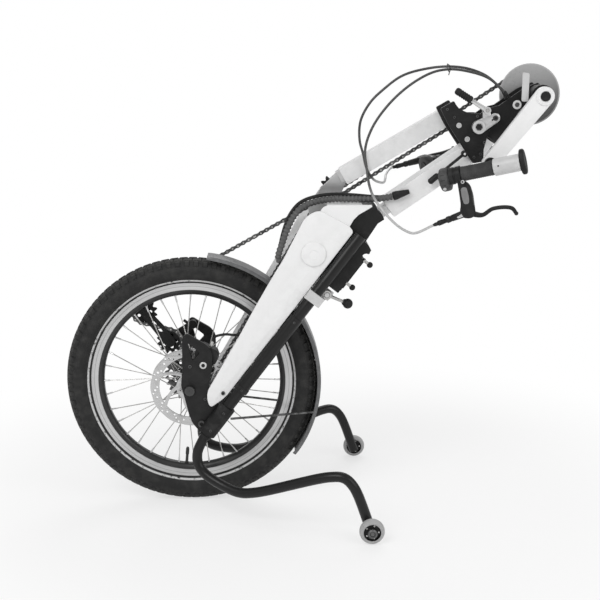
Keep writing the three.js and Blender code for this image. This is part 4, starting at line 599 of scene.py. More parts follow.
def piece(name, shape, body, looks, stands_for=(), crease=32):
    """Turns a shape into an object of the row frame that rides on a body, or on none."""
    mesh = bpy.data.meshes.new(name)
    mesh.from_pydata([placed(*v) for v in shape.verts], [], shape.faces)
    work = bmesh.new()
    work.from_mesh(mesh)
    bmesh.ops.remove_doubles(work, verts=work.verts, dist=2e-6)
    bmesh.ops.recalc_face_normals(work, faces=work.faces)
    work.to_mesh(mesh)
    work.free()
    for look in looks:
        mesh.materials.append(look)
    if len(mesh.polygons) == len(shape.looks):
        mesh.polygons.foreach_set("material_index", shape.looks)
    mesh.polygons.foreach_set("use_smooth", [True] * len(mesh.polygons))
    mesh.set_sharp_from_angle(angle=math.radians(crease))
    made = bpy.data.objects.new(name, mesh)
    scene.collection.objects.link(made)
    if body:
        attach(made, body)
    if stands_for:
        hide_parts(*stands_for)
    return made


def dress(node, look, edge):
    """Gives a CAD node a finish, and softens its edges."""
    obj = frame["nodes"][node]
    with bpy.context.temp_override(object=obj, active_object=obj):
        bpy.ops.mesh.customdata_custom_splitnormals_clear()
    mesh = obj.data
    mesh.materials.clear()
    mesh.materials.append(look)
    if "sharp_edge" in mesh.attributes:
        mesh.attributes.remove(mesh.attributes["sharp_edge"])
    mesh.polygons.foreach_set("use_smooth", [True] * len(mesh.polygons))
    weld = obj.modifiers.new("weld", "WELD")
    weld.merge_threshold = 2e-6
    soften = obj.modifiers.new("soften", "BEVEL")
    soften.width = edge * MM
    soften.segments = 2
    soften.limit_method = "ANGLE"
    soften.angle_limit = math.radians(28)
    soften.harden_normals = True
    soften.use_clamp_overlap = True


def basis(origin, x, y, z):
    made = Matrix.Identity(4)
    for i, axis in enumerate((x, y, z, origin)):
        for k in range(3):
            made[k][i] = axis[k]
    return made


# The rails' frame has its X up the rail. Each grip's frame has its X along the grip, outwards.
RAIL = at(96, 0, 249) @ Matrix.Rotation(-math.radians(RAIL_ANGLE), 4, "Y")
GRIP = {
    NEAR: basis(
        (508.8, -125, 680.3), (0.9022, -0.3645, 0.2307), (0.3746, 0.9272, 0), (-0.2139, 0.0864, 0.973)
    ),
    FAR: basis(
        (508.8, 125, 680.3), (0.9022, 0.3645, 0.2307), (-0.3746, 0.9272, 0), (-0.2139, -0.0864, 0.973)
    ),
}
BRAKE = {
    NEAR: GRIP[NEAR],
    FAR: basis(
        (508.8, 125, 680.3), (0.9022, 0.3645, 0.2307), (-0.2139, -0.0864, 0.973), (0.3746, -0.9272, 0)
    ),
}


def round_axle(radius, angle, y):
    x, z = polar(radius, angle, *AXLE)
    return V(x, y, z)


def mirrored(half, middle=()):
    """A profile of (radius, length) that is the same on both sides of its middle."""
    return [*half, *middle] + [(r, -y) for r, y in reversed(half)]


# Tyre: a casing with three rows of blocks and a ribbed shoulder
def tyre_shape():
    pitches, columns = 84, (0.0, 0.04, 0.22, 0.27, 0.5, 0.54, 0.72, 0.77)
    centre, section, block, bead = 228.0, 25.0, 2.4, 203.3
    half = [-120, -112, -100, -88, -76, -66, -60, -54, -52, -38, -36, -33, -31, -14, -12, -9, -7]
    rows = half + [0] + [-degrees for degrees in reversed(half)]

    def raised(degrees, share):
        a = abs(degrees)
        if a <= 7.5:
            return 0.27 <= share <= 0.99 or share < 0.03
        if 11.5 < a < 31.5:
            return not 0.04 < share < 0.25 if degrees > 0 else not 0.54 < share < 0.75
        if 35.5 < a < 61:
            return share >= 0.54 or share <= 0.03 if degrees > 0 else 0.03 < share < 0.53
        return False

    def surface(degrees, share):
        t = math.radians(degrees)
        slope = max(0.0, min(1.0, (74 - abs(degrees)) / 10))
        high = section if raised(degrees, share) else section - block * slope
        return (centre + high * math.cos(t), high * math.sin(t))

    outside = []
    for p in range(pitches):
        for share in columns:
            profile = [(bead, -9.3), (bead, -13.0)] + [surface(degrees, share) for degrees in rows]
            profile += [(bead, 13.0), (bead, 9.3)]
            outside.append([round_axle(r, TURN * (p + share) / pitches, y) for r, y in profile])
    inner = mirrored([(bead, 9.3), (212, 16), (228, 20.5), (245, 12)], [(248.5, 0)])
    steps = 96
    inside = [[round_axle(r, TURN * i / steps, y) for r, y in inner] for i in range(steps)]
    made = Shape().loft(outside, ring_closed=False, run_closed=True)
    return made.loft(inside, ring_closed=False, run_closed=True)


piece("tyre_casing", tyre_shape(), "wheel", [tyre_look], ["tyre"], 40)

# Rim with nipples and a valve
rim_half = [
    (178.0, 4.6), (178.8, 6.2), (184, 10.2), (188.6, 11.4), (189.2, 12.2), (201.6, 12.8), (202.7, 12.4),
    (203.0, 11.6), (202.4, 10.9), (199.0, 10.6), (196.0, 9.4), (193.4, 6.0),
]
rim_shape = Shape().turned(mirrored(rim_half, [(192.0, 0.0)]), (0, 0, WHEEL), ACROSS, 144)
SPOKES = 36
FLANGE = {NEAR: -40.0, FAR: 29.0}
spoke_shape = Shape()
for i in range(SPOKES):
    side = FAR if i % 2 else NEAR
    trailing = (i // 2) % 2
    hole = TURN * i / SPOKES
    end = hole + (1 if trailing else -1) * 4 * TURN / SPOKES
    root = round_axle(25, hole, FLANGE[side] + (2.0 if trailing else -2.0))
    seat = round_axle(178.4, end, side * 3.0)
    aim = (seat - root).normalized()
    bend = V(0, -1 if trailing else 1, 0)
    elbow = [root + bend * 1.4, root + bend * 0.5]
    spoke_shape.tube(elbow + [root + aim * 1.5, root + aim * 4, seat - aim * 10], 1.0, 8)
    nipple = [seat - aim * back for back in (13, 12.6, 3, 2.9, 0.2)]
    spoke_shape.tube(nipple, [1.2, 1.7, 1.7, 2.1, 2.1], 8, 1)
valve = math.radians(-95)
out = V(math.cos(valve), 0, math.sin(valve))
stem = [
    (0, 0), (4.2, 0), (4.2, 2), (3, 2.4), (2.9, 18), (2.4, 18.4), (3.6, 19), (3.6, 30), (2.4, 33.8), (0, 34),
]
rim_shape.turned(stem, V(0, 0, WHEEL) + out * 178.5, -out, 16)
piece("rim_extrusion", rim_shape, "wheel", [rim_look], ["rim"])
hub_profile = [
    (5.4, -62), (8.6, -62), (9, -61.5), (16.6, -53.9), (17.7, -53.4), (17.7, -50.5), (24.6, -50.5),
    (25, -50.0), (25, -42.2), (28.6, -42.0), (29, -41.6), (29, -38.6), (28, -38), (19, -37), (15.4, -33),
    (14.2, -24), (13.6, -6), (14.2, 14), (15.4, 22), (19, 26.2), (28, 27), (29, 27.5), (29, 30.6),
    (28.4, 31), (15, 31), (15, 33), (5.4, 33),
]
spoke_shape.turned(hub_profile, (0, 0, WHEEL), ACROSS, 64, 2)
for x, z in spots(6, 22, *AXLE, 0.3):
    spoke_shape.bolt(x, z, -52.85, NEAR, 2.9, 1.2, 1, 3)
hub_looks = [steel, aluminium, black_metal, black_plastic]
piece("laced_spokes", spoke_shape, "wheel", hub_looks, ["hub_and_spokes"])


# Brake rotor
def rotor_outlines():
    arms, half, sweep = 6, 4.2, math.radians(38)
    low, high = 28.5, 62
    waves = [TURN * i / 240 for i in range(240)]
    made = [[polar(80 - 0.9 * (0.5 - 0.5 * math.cos(12 * a)), a, *AXLE) for a in waves]]
    made.append(circle(18.1, 48, *AXLE))

    def edge(r, start, side):
        along = (r - 27) / (65 - 27)
        return polar(r, start + sweep * along ** 0.8 + side * half / r, *AXLE)

    def angle_of(point):
        return math.atan2(point[1] - WHEEL, point[0])

    def arc(radius, start, end, steps):
        return [polar(radius, start + (end - start) * k / steps, *AXLE) for k in range(1, steps)]

    for i in range(arms):
        radii = [low + (high - low) * k / 10 for k in range(11)]
        front = [edge(r, TURN * i / arms, 1) for r in radii]
        back = [edge(r, TURN * (i + 1) / arms, -1) for r in reversed(radii)]
        outer_from, outer_to = angle_of(front[-1]), angle_of(back[0])
        if outer_to < outer_from:
            outer_to += TURN
        inner_from, inner_to = angle_of(back[-1]), angle_of(front[0])
        if inner_to > inner_from:
            inner_from += TURN
        window = front + arc(high, outer_from, outer_to, 10) + back + arc(low, inner_from, inner_to, 6)
        made.append(rounded(window, 0.8, 2))
    for i in range(12):
        for r, turn_by, size in ((66.5, 0.0, 2.0), (71.0, 0.09, 2.4), (75.6, 0.18, 1.9), (70.0, 0.30, 2.1)):
            made.append(circle(size, 14, *polar(r, TURN * i / 12 + turn_by, *AXLE)))
    return made + [circle(2.4, 12, *p) for p in spots(6, 22.8, *AXLE, 0.3)]


rotor = Shape().plate(rotor_outlines(), -52.75, -50.85, edge=0.2)
piece("drilled_rotor", rotor, "wheel", [rotor_look], ["brake_rotor"])


# Toothed wheels
def pitch_radius(teeth):
    return LINK / (2 * math.sin(math.pi / teeth))


def teeth_outline(teeth, x, z):
    mid, root, tip = pitch_radius(teeth), 3.6, 3.1
    tooth = (
        (0.0, -root), (0.12, -root * 0.85), (0.24, -0.4), (0.4, tip * 0.8), (0.5, tip), (0.6, tip * 0.8),
        (0.76, -0.4), (0.88, -root * 0.85),
    )
    return [polar(mid + rise, TURN * (i + u) / teeth, x, z) for i in range(teeth) for u, rise in tooth]


cogs = Shape()
for k, teeth in enumerate((28, 23, 18, 15, 13)):
    y = CHAIN_Y + (k - 2) * 4.35
    holes = [circle(15.2, 40, *AXLE)]
    if teeth > 20:
        reach, size = (pitch_radius(teeth) + 12) / 2 + 2, (pitch_radius(teeth) - 22) / 2.2
        holes += [circle(size, 20, *p) for p in spots(6, reach, *AXLE, 0.4 * k)]
    cogs.plate([teeth_outline(teeth, *AXLE)] + holes, y - 0.9, y + 0.9, 0, 0.25)
    if k < 4:
        cogs.ring(21 - 0.9 * k, 15.1, y + 0.9, y + 3.45, *AXLE, 40, 1, 0.1)
cogs.ring(15.0, 5.5, 33.4, 56, *AXLE, 48, 1)
cogs.ring(17.8, 5.5, 55.6, 58.2, *AXLE, 48, 1)
piece("sprocket_stack", cogs, "cassette", [cog_look, dark_steel], ["cassette"])

WHEELS = {
    "guide_pulley": (-48, 323, 12),
    "tension_pulley": (-99, 385, 12),
    "idler_front": (280, 643, 8),
    "idler_rear": (252, 573, 8),
    "idler_tilt": (*TILT, 8),
}
for name, (x, z, teeth) in WHEELS.items():
    wheel = Shape()
    holes = [circle(5.2, 24, x, z)]
    if teeth > 8:
        holes += [circle(3.2, 16, *p) for p in spots(5, 13, x, z)]
    wheel.plate([teeth_outline(teeth, x, z)] + holes, CHAIN_Y - 0.95, CHAIN_Y + 0.95, 0, 0.25)
    wheel.ring(5.4, 2.8, CHAIN_Y - 4.6, CHAIN_Y + 4.6, x, z, 24, 1, 0.3)
    wheel.ring(8.4, 5.0, CHAIN_Y - 1.7, CHAIN_Y + 1.7, x, z, 24, 0, 0.4)
    piece(name + "_teeth", wheel, name, [black_plastic, steel], [name])

# Chain: plates, rollers and pins on the same route as in CAD. Each stop has a place, its teeth and
# the way round that the chain takes.
STOPS = [
    (*CRANK, 24, 1),
    (*WHEELS["idler_front"], -1),
    (*WHEELS["tension_pulley"], 1),
    (*WHEELS["guide_pulley"], -1),
    (*AXLE, 18, 1),
    (*WHEELS["idler_rear"], -1),
    (*WHEELS["idler_tilt"], -1),
]


def tangent(a, b):
    """The two ends of the straight run from one stop to the next."""
    ra, rb = a[3] * pitch_radius(a[2]), b[3] * pitch_radius(b[2])
    away = math.hypot(b[0] - a[0], b[1] - a[1])
    heading = math.atan2(b[1] - a[1], b[0] - a[0]) - math.asin((rb - ra) / away)
    left = Vector((-math.sin(heading), math.cos(heading)))
    return Vector(a[:2]) - left * ra, Vector(b[:2]) - left * rb


def chain_line(first, last):
    """Close points of the chain's middle line from the middle of one wheel's wrap to another's."""
    line = []
    for i in range(first, last + 1):
        before, here, after = [STOPS[k % len(STOPS)] for k in (i - 1, i, i + 1)]
        radius = pitch_radius(here[2])
        centre = Vector(here[:2])
        arrive, leave = tangent(before, here)[1], tangent(here, after)[0]
        begin = math.atan2(*(arrive - centre).yx)
        sweep = math.atan2(*(leave - centre).yx) - begin
        while here[3] > 0 and sweep < 0:
            sweep += TURN
        while here[3] < 0 and sweep > 0:
            sweep -= TURN
        low, high = 0.5 if i == first else 0.0, 0.5 if i == last else 1.0
        steps = max(2, int(abs(sweep) * radius))
        for k in range(steps + 1):
            a = begin + sweep * (low + (high - low) * k / steps)
            line.append(centre + Vector((math.cos(a), math.sin(a))) * radius)
    return line


def spaced(line, pitch):
    """Points along a line, as near a pitch apart as fits it, and clear of its ends."""
    lengths = [0.0]
    for a, b in zip(line, line[1:]):
        lengths.append(lengths[-1] + (b - a).length)
    count = round((lengths[-1] - 3) / pitch)
    step = (lengths[-1] - 3) / count
    made, j = [], 0
    for i in range(count + 1):
        want = 1.5 + i * step
        while lengths[j + 1] < want and j < len(line) - 2:
            j += 1
        share = (want - lengths[j]) / max(1e-9, lengths[j + 1] - lengths[j])
        made.append(line[j].lerp(line[j + 1], share))
    return made


def link_outline(length, radius, waist, steps=6):
    """A chain plate: two round ends with a waist between them."""
    made = []
    for centre, start in ((length, -TURN / 4), (0.0, TURN / 4)):
        made += [polar(radius, start + TURN / 2 * k / steps, centre) for k in range(steps + 1)]
        made.append((length / 2, waist if centre else -waist))
    return made


def halves(line, share):
    """The two parts of a line cut on its longest straight."""
    k = max(range(len(line) - 1), key=lambda i: (line[i + 1] - line[i]).length)
    cut = line[k].lerp(line[k + 1], share)
    return line[:k + 1] + [cut], [cut] + line[k + 1:]


def chain_shape(line):
    """Inner and outer links in turn along a line, with their rollers and pins."""
    made = Shape()
    pins = spaced(line, LINK)
    outline = link_outline(LINK, 4.1, 2.5)
    for i, (a, b) in enumerate(zip(pins, pins[1:])):
        heading = math.atan2(b.y - a.y, b.x - a.x)
        stretch = Matrix.Diagonal(((b - a).length / LINK, 1, 1, 1))
        to = at(a.x, CHAIN_Y, a.y) @ Matrix.Rotation(-heading, 4, "Y") @ stretch
        y0 = 1.35 if i % 2 else 2.45
        for side in (NEAR, FAR):
            made.loft([[(x, side * y, z) for x, z in outline] for y in (y0, y0 + 0.9)], 1, to)
    for p in pins:
        made.turned([(0, 0), (1.7, 0), (1.7, 7.0), (0, 7.0)], (p.x, CHAIN_Y - 3.5, p.y), ACROSS, 8, 2)
        roller = [(1.7, 0), (3.7, 0), (3.7, 2.6), (1.7, 2.6)]
        made.turned(roller, (p.x, CHAIN_Y - 1.3, p.y), ACROSS, 12, 2)
    return made


chain_looks = [steel, dark_steel, steel]
fold_end, cage_end = halves(chain_line(1, 2), 0.4)
cage_wrap, return_run = halves(chain_line(2, 5), 0.6)
for name, line, body, start, end in (
    ("chain_fold_end", fold_end, "mast", (150, 0, 555), (262, 0, 632)),
    ("chain_cage_end", cage_end, "derailleur_cage", (100, 0, 520), (-88, 0, 393)),
    ("chain_cage_wrap", cage_wrap, "derailleur_cage", (-63.9, 0, 342.3), (-92.5, 0, 377)),
    ("chain_return_run", return_run, "mast", (190, 0, 495), (246, 0, 566)),
):
    made = piece(name, chain_shape(line), None, chain_looks, ["chain_lower"])
    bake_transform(made)
made = piece("chain_upper_links", chain_shape(chain_line(5, 8)), None, chain_looks, ["chain_upper"])
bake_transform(made)

# Fork plates, dropouts and rails
fork_shares = [
    (0.075, 0), (0.993, 0), (1, 0.153), (0.978, 0.857), (0.919, 0.992), (0.722, 0.817), (0.61, 0.76),
    (0.469, 0.668), (0.338, 0.567), (0.23, 0.498), (0.051, 0.384), (0.018, 0.265), (0, 0.115),
]
dropout_shares = [
    (-0.15, 0.08), (-0.122, 0.41), (-0.113, 0.94), (-0.026, 1), (0.08, 0.93), (0.3, 0.8), (0.39, 0.68),
    (0.39, 0.41), (0.33, 0.08), (0.33, -0.12), (0.52, -0.3), (0.34, -0.72), (0.16, -0.75), (0.03, -0.59),
    (-0.035, -0.39), (-0.09, -0.15),
]
window_shares = [(-0.03, 0.84), (0.19, 0.66), (0.06, 0.52)]
rail_profile = [
    (0, -108), (11.4, -108), (12, -107.4), (12, 5), (14.4, 5), (15, 5.6), (15, 14.4), (14.4, 15),
    (13.5, 15.2), (13.5, 189), (12.6, 190), (12, 190.3), (12, 390), (11.4, 391), (0, 391),
]
drop_sleeve = [(17, -104), (16.4, -104.6), (12.3, -104.6), (12.3, -35.4), (16.4, -35.4), (17, -36)]
DROP = 115
FORK_IN, FORK_OUT = 75.6, 81.6
DROP_IN, DROP_OUT = 68.0, 75.0
pivot = RAIL.inverted() @ V(FOLD[0], 0, FOLD[1])
at_axle = at(0, 0, WHEEL)
fork_outline = [(x - 58, z + 15.3) for x, z in rounded(scaled(fork_shares, 450, 92), 14, 8)]
drop_outlines = [
    rounded(scaled(dropout_shares, DROP), 8, 6), circle(6.3, 32), rounded(scaled(window_shares, DROP), 5, 5),
]
for side, name in NAMES:
    fork = Shape()
    fork.plate(
        [fork_outline, circle(10.3, 40, pivot.x, pivot.z)], *span(side, FORK_IN, FORK_OUT), 0, 1.0, RAIL
    )
    fork.bolt(-18.6, 24, side * FORK_OUT, side, 4, 2.5, 1, 2, RAIL)
    looks = [white, dark_steel, black_plastic]
    piece("fork_side_" + name, fork, "frame", looks, ["fork_plate_" + name])

    rail = Shape().turned(rail_profile, (0, side * RAIL_Y, 0), ALONG, 48, 0, RAIL)
    for along, out in ((10, 14.6), (180, 13.0)):
        rail.bolt(along, 0, side * (RAIL_Y + out), side, 2.2, 1.6, 1, 2, RAIL)
    looks = [black_rail, dark_steel, black_plastic]
    piece("rail_tube_" + name, rail, "frame", looks, ["rail_" + name])

    face = side * DROP_OUT
    drop = Shape().plate(drop_outlines, *span(side, DROP_IN, DROP_OUT), 0, 0.8, at_axle)
    drop.turned(drop_sleeve, (0, side * RAIL_Y, 0), ALONG, 40, 0, RAIL)
    drop.bolt(0.19 * DROP, -0.6 * DROP, face, side, 7, 3.5, 1, 2, at_axle)
    drop.bolt(0.235 * DROP, 0.44 * DROP, face, side, 7.2, 1.8, 3, 2, at_axle)
    for u, v, r in ((0.01, 0.42, 3.4), (0.26, -0.16, 3.4), (0.36, -0.5, 3.0)):
        drop.bolt(u * DROP, v * DROP, face, side, r, 1.5, 1, 2, at_axle)
    for along in (-92, -48):
        drop.bolt(along, 0, side * (RAIL_Y + 16.8), side, 2.6, 1.6, 1, 2, RAIL)
    looks = [black_metal, dark_steel, black_plastic, aluminium]
    piece("dropout_plate_" + name, drop, "frame", looks, ["dropout_" + name])

# Stand with its casters. The route's middle number is the distance out from the rail.
stand_route = [
    (24, 0, 152), (13, 0, 126), (14, 3, 103), (27, 10, 85), (60, 28, 68), (96, 50, 60), (128, 66, 66),
    (270, 124, 119), (296, 132, 120), (314, 136, 104), (347, 137, 20),
]
caster_body = mirrored([(4.6, -11), (8.6, -11), (9, -10.6), (9, -5), (15.4, -4.4), (16.9, -9.0)])
caster_tread = mirrored([(16.5, -9.4), (19.5, -9.8), (22.4, -7.2), (23.7, -3.4)], [(24, 0)])
CASTER = (348, 24)
CASTER_Y, STAND_Y, PIN_Y = 236.5, 215.2, 252
rail_foot = RAIL @ V(-108, 0, 0)
rail_aim = RAIL.to_3x3() @ V(*ALONG)
upright = Matrix.Rotation(math.pi / 2, 4, "X")
for side, name in NAMES:
    foot = V(rail_foot.x, side * RAIL_Y, rail_foot.z)
    route = [V(x, side * min(RAIL_Y + out, STAND_Y), z) for x, out, z in stand_route]
    stand = Shape().tube(path_through([foot - rail_aim * 0.3, foot - rail_aim * 5] + route, 5), 10, 24)
    stand.pin(4.2, *span(side, STAND_Y, PIN_Y), *CASTER, 20, 1)
    stand.bolt(*CASTER, side * 247.8, side, 9, 4.4, 1, 2)
    stand.ring(12.8, 9.8, -1.2, 4.2, 0, 0, 32, 0, 0.4, steer(-rail_aim, foot - rail_aim) @ upright)
    looks = [black_rail, dark_steel, black_plastic]
    piece("stand_tube_" + name, stand, "frame", looks, ["stand_" + name])

    y = side * CASTER_Y
    caster = Shape().turned(caster_tread, (CASTER[0], y, CASTER[1]), ACROSS, 64)
    caster.turned(caster_body, (CASTER[0], y, CASTER[1]), ACROSS, 48, 1)
    for x, z in spots(5, 12.4, *CASTER):
        caster.pin(1.7, y - 5.6, y + 5.6, x, z, 12, 2, 0.2)
    looks = [pale_tyre, black_plastic, steel]
    piece("caster_wheel_" + name, caster, "caster_" + name, looks, ["caster_" + name])

# Mudguard with its stays and its block on the bridge
start, end, steps = math.radians(-36.6), math.radians(82.2), 90
section_half = [
    (258.6, -24.6), (253.2, -24.8), (253.0, -26.0), (253.8, -26.9), (257.5, -26.9), (260.3, -25.0),
    (260.9, -20),
]
section = mirrored(section_half, [(261.0, 0)]) + [(258.8, 0)]
rings = []
for i in range(steps + 1):
    width = 0.86 + 0.14 * math.sqrt(min(1.0, min(i, steps - i) / 3))
    rings.append([round_axle(r, start + (end - start) * i / steps, y * width) for r, y in section])
fender = Shape().loft(rings)
stay = RAIL @ V(-53, 0, -19.8)
for side in (NEAR, FAR):
    root = round_axle(258.5, math.radians(-14), side * 26.0) - V(4, 0, 0)
    fender.tube([V(stay.x, side * RAIL_Y, stay.z), root], 2.3, 12, 1)
away = RAIL @ V(215, 0, 30) - V(0, 0, WHEEL)
pad = at_axle @ Matrix.Rotation(-math.atan2(away.z, away.x), 4, "Y") @ upright
low, high, half = 259.8, away.length - 12.4, 13.4
fender.plate([[(low, -half), (high, -half), (high, half), (low, half)]], -6, 6, 2, 0.8, pad)
looks = [grey_plastic, dark_steel, black_plastic]
piece("mudguard_shell", fender, "frame", looks, ["fender"])

# Head plates
head_shares = [
    (-0.73, 0.345), (-0.475, 0.49), (-0.43, 0.41), (-0.364, 0.335), (-0.156, 0.247), (0.047, 0.247),
    (0.282, 0.108), (0.191, -0.183), (0.123, -0.436), (0.131, -0.665), (-0.075, -0.702), (-0.318, -0.334),
    (-0.56, 0.022),
]
studs = ((-36.6, 2.4), (-19.8, -23.7))
screws = ((-60, 33), (-46, 18), (-6, -58), (6, -52), (-2, 20), (13, -30))
tilt = at(TILT[0], 0, TILT[1])
head_outlines = [
    rounded(scaled(head_shares, 100), 3.5, 4), *[circle(5.5, 28, *p) for p in studs], circle(8.3, 32)
]
for side, name, y0 in ((NEAR, "near", -38.3), (FAR, "far", 22.3)):
    head = Shape().plate(head_outlines, y0, y0 + 6, 0, 0.6, tilt)
    face = y0 if side == NEAR else y0 + 6
    for x, z in studs:
        head.bolt(x, z, face - side * 3.0, side, 5.3, 2.6, 3, 3, tilt)
    for x, z in screws if side == NEAR else ():
        head.bolt(x, z, face, side, 2.7, 1.5, 1, 2, tilt)
    looks = [black_metal, dark_steel, black_plastic, pale]
    piece("head_side_" + name, head, "mast", looks, ["head_plate_" + name])

# Crank arms, with the axle on the near one and the toothed ring on the far one
ARM_IN, ARM_OUT = 76, 92
for side, name in NAMES:
    arm = Shape().plate([strap(*CRANK, 18, *ARM_END, 14.5, 24)], *span(side, ARM_IN, ARM_OUT), 0, 2.4)
    arm.ring(17.2, 9.4, *span(side, ARM_OUT, ARM_OUT + 1.6), *CRANK, 48, 0, 0.7)
    arm.pin(9, *span(side, ARM_OUT, ARM_OUT + 3.0), *CRANK, 40, 1, 0.8)
    arm.pin(4.6, *span(side, ARM_OUT + 2.9, ARM_OUT + 3.2), *CRANK, 6, 2, 0.1)
    if side == NEAR:
        arm.pin(12, -76.3, 76, *CRANK, 40, 3)
        x, z = Vector(CRANK) + (Vector(CRANK) - Vector(ARM_END)).normalized() * -30  # a centre dot
        arm.bolt(x, z, -ARM_OUT, NEAR, 0.1, 0.1, 0, 0)
    else:
        arm.ring(20, 12.3, 44.1, 76.3, *CRANK, 48, 0, 0.8)
        holes = [circle(3.4, 16, *p) for p in spots(10, 38.5, *CRANK)[1::2]]
        arm.plate([teeth_outline(24, *CRANK), circle(27, 48, *CRANK)] + holes, 44.1, 45.9, 3, 0.25)
        for inner, outer in zip(spots(5, 14, *CRANK), spots(5, 34, *CRANK)):
            arm.plate([strap(*inner, 10, *outer, 6, 8)], 46.0, 51.9, 0, 0.8)
            arm.bolt(*outer, 51.9, FAR, 3.6, 1.2, 4, 2)
    looks = [white, black_metal, black_plastic, steel if side == NEAR else ring_look, dark_steel]
    piece("crank_" + name, arm, "crank", looks, ["crank_arm_" + name])

guard_profile = [
    (12.3, 38.5), (59.2, 38.5), (60, 39.1), (60, 40.4), (59.2, 41), (36, 41), (36, 43.8), (28, 43.8),
    (28, 41), (12.3, 41),
]
disc = Shape().turned(guard_profile, (CRANK[0], 0, CRANK[1]), ACROSS, 96)
piece("guard_plate", disc, "crank", [smoke_look], ["guard_disc"])

# Pivot cap, tilt pin and levers
cap = Shape()
cap_profile = [
    (0, 0), (22.6, 0), (23.6, 0.4), (24, 1.2), (23.4, 2.3), (21.8, 3), (8, 3), (7.4, 2.4), (0, 2.4)
]
for side in (NEAR, FAR):
    cap.turned(cap_profile, (FOLD[0], side * 81.9, FOLD[1]), (0, side, 0), 56)
cap.pin(10, -82, 82, *FOLD, 32, 1)
piece("pivot_cap", cap, "frame", [white, steel], ["pivot_pin"])

pin_profile = [
    (0, 3), (6.5, 3), (6.8, 0.6), (7.4, 0), (12, 0), (13, 1), (13, 13), (8, 13), (8, 91.2), (2.5, 91.2),
    (2.5, 101.6), (5, 101.6), (5, 103.4), (0, 103.6),
]
pin = Shape().turned(pin_profile, (0, -51.6, 0), ACROSS, 48, 0, tilt)
# The pin's hexagonal socket, lined in black plastic, is painted shade in the recess.
socket = [(0, 2.9), (6.4, 2.9), (6.4, 1.2), (4.2, 0.9), (3.2, 1.6), (0, 1.6)]
pin.turned(socket, (0, -51.6, 0), ACROSS, 6, 1, tilt)
slit = [(14.6, 6.4), (30.4, 15.0), (29.4, 16.9), (13.6, 8.3)]
pin.plate([strap(0, 0, 13, 31, 17, 9, 16), circle(8.0, 32), slit], -49.6, -38.6, 0, 0.9, tilt)
pin.plate([strap(15.5, 8.5, 9, 13.2, 31.7, 7, 12)], -49.4, -38.8, 0, 0.9, tilt)
pin.bolt(31, 17, -49.6, NEAR, 5.2, 2.2, 3, 1, tilt)
pin.pin(3, -60.2, -49.3, 13.2, 31.7, 20, 2, 0.5, tilt)
looks = [aluminium, black_plastic, steel, dark_steel]
piece("tilt_clamp", pin, "mast", looks, ["tilt_pin"])

clamp_at = at(572, -54.9, 795)
lever = Shape().ring(7, 3.3, -5, 5, 0, 0, 32, 1, 0.5, clamp_at)
lever.plate([strap(-5.4, 3.3, 4.6, -29, 17.9, 3.6, 10)], -3.4, 3.4, 1, 1.0, clamp_at)
handle = [(0, 0), (5.4, 0), (6.6, 1.2), (7, 3.5)]
for k in range(5):
    groove = 6 + 4.6 * k
    handle += [(7, groove), (6.3, groove + 0.7), (6.3, groove + 1.9), (7, groove + 2.6)]
handle += [(7, 31), (6.3, 34.4), (4.4, 36.1), (0, 36.6)]
lever.turned(handle, (-30, 0, 18.5), V(-31, 0, 19.5), 32, 0, clamp_at)
piece("clamp_handle", lever, "clamp_lever", [black_plastic, aluminium], ["clamp_lever"])

bar = rounded([(286, -40.7), (358, -40.7), (358, -36.7), (286, -36.7)], 0.6, 3)
slide = Shape().plate([bar], -56, -48, 0, 0.6, RAIL)
for along in (298, 354):
    stem = [(0, 0), (4.6, 0), (4.6, 2.2), (3, 3), (3, 12.6), (0, 12.6)]
    slide.turned(stem, (along, -52, -38.7), (0, 0, -1), 20, 1, RAIL)
    slide.ball(6, (along, -52, -54), 2, RAIL)
looks = [black_metal, steel, black_plastic]
piece("slide_and_knobs", slide, "dock_slide", looks, ["dock_slide"])

dock_at = at(270, -52, 439)
aim = V(41, 0, -18).normalized()
lever = Shape().ring(9.6, 5.3, -5, 5, 0, 0, 32, 1, 0.6, dock_at)
lever.tube([aim * 7.5, aim * 12, aim * 30, aim * 37], [3.5, 3.2, 3.2, 3.4], 16, 1, dock_at)
lever.ball(10, (41, 0, -18), 0, dock_at, 16)
lever.turned([(0, 0), (5.4, 0), (6.4, 2.6), (0, 2.6)], aim * 34.2, aim, 24, 0, dock_at)
piece("knob_lever", lever, "dock_lever", [black_plastic, steel], ["dock_lever"])

# The pale tab and cap on the crank's shell
tab = rounded([(633, 812), (646, 812), (646, 864), (633, 866)], 3.5, 5)
marks = Shape().plate([tab], -72.4, -69.7, 0, 0.6)
marks.bolt(625, 806, -69.7, NEAR, 8.4, 2.6, 0, 1)
piece("shell_tab", marks, "crank_bracket", [pale, dark_steel])


# Hoses and loom
def beyond(root, end, more):
    """A place past the end of a straight line."""
    return end + (end - root).normalized() * more


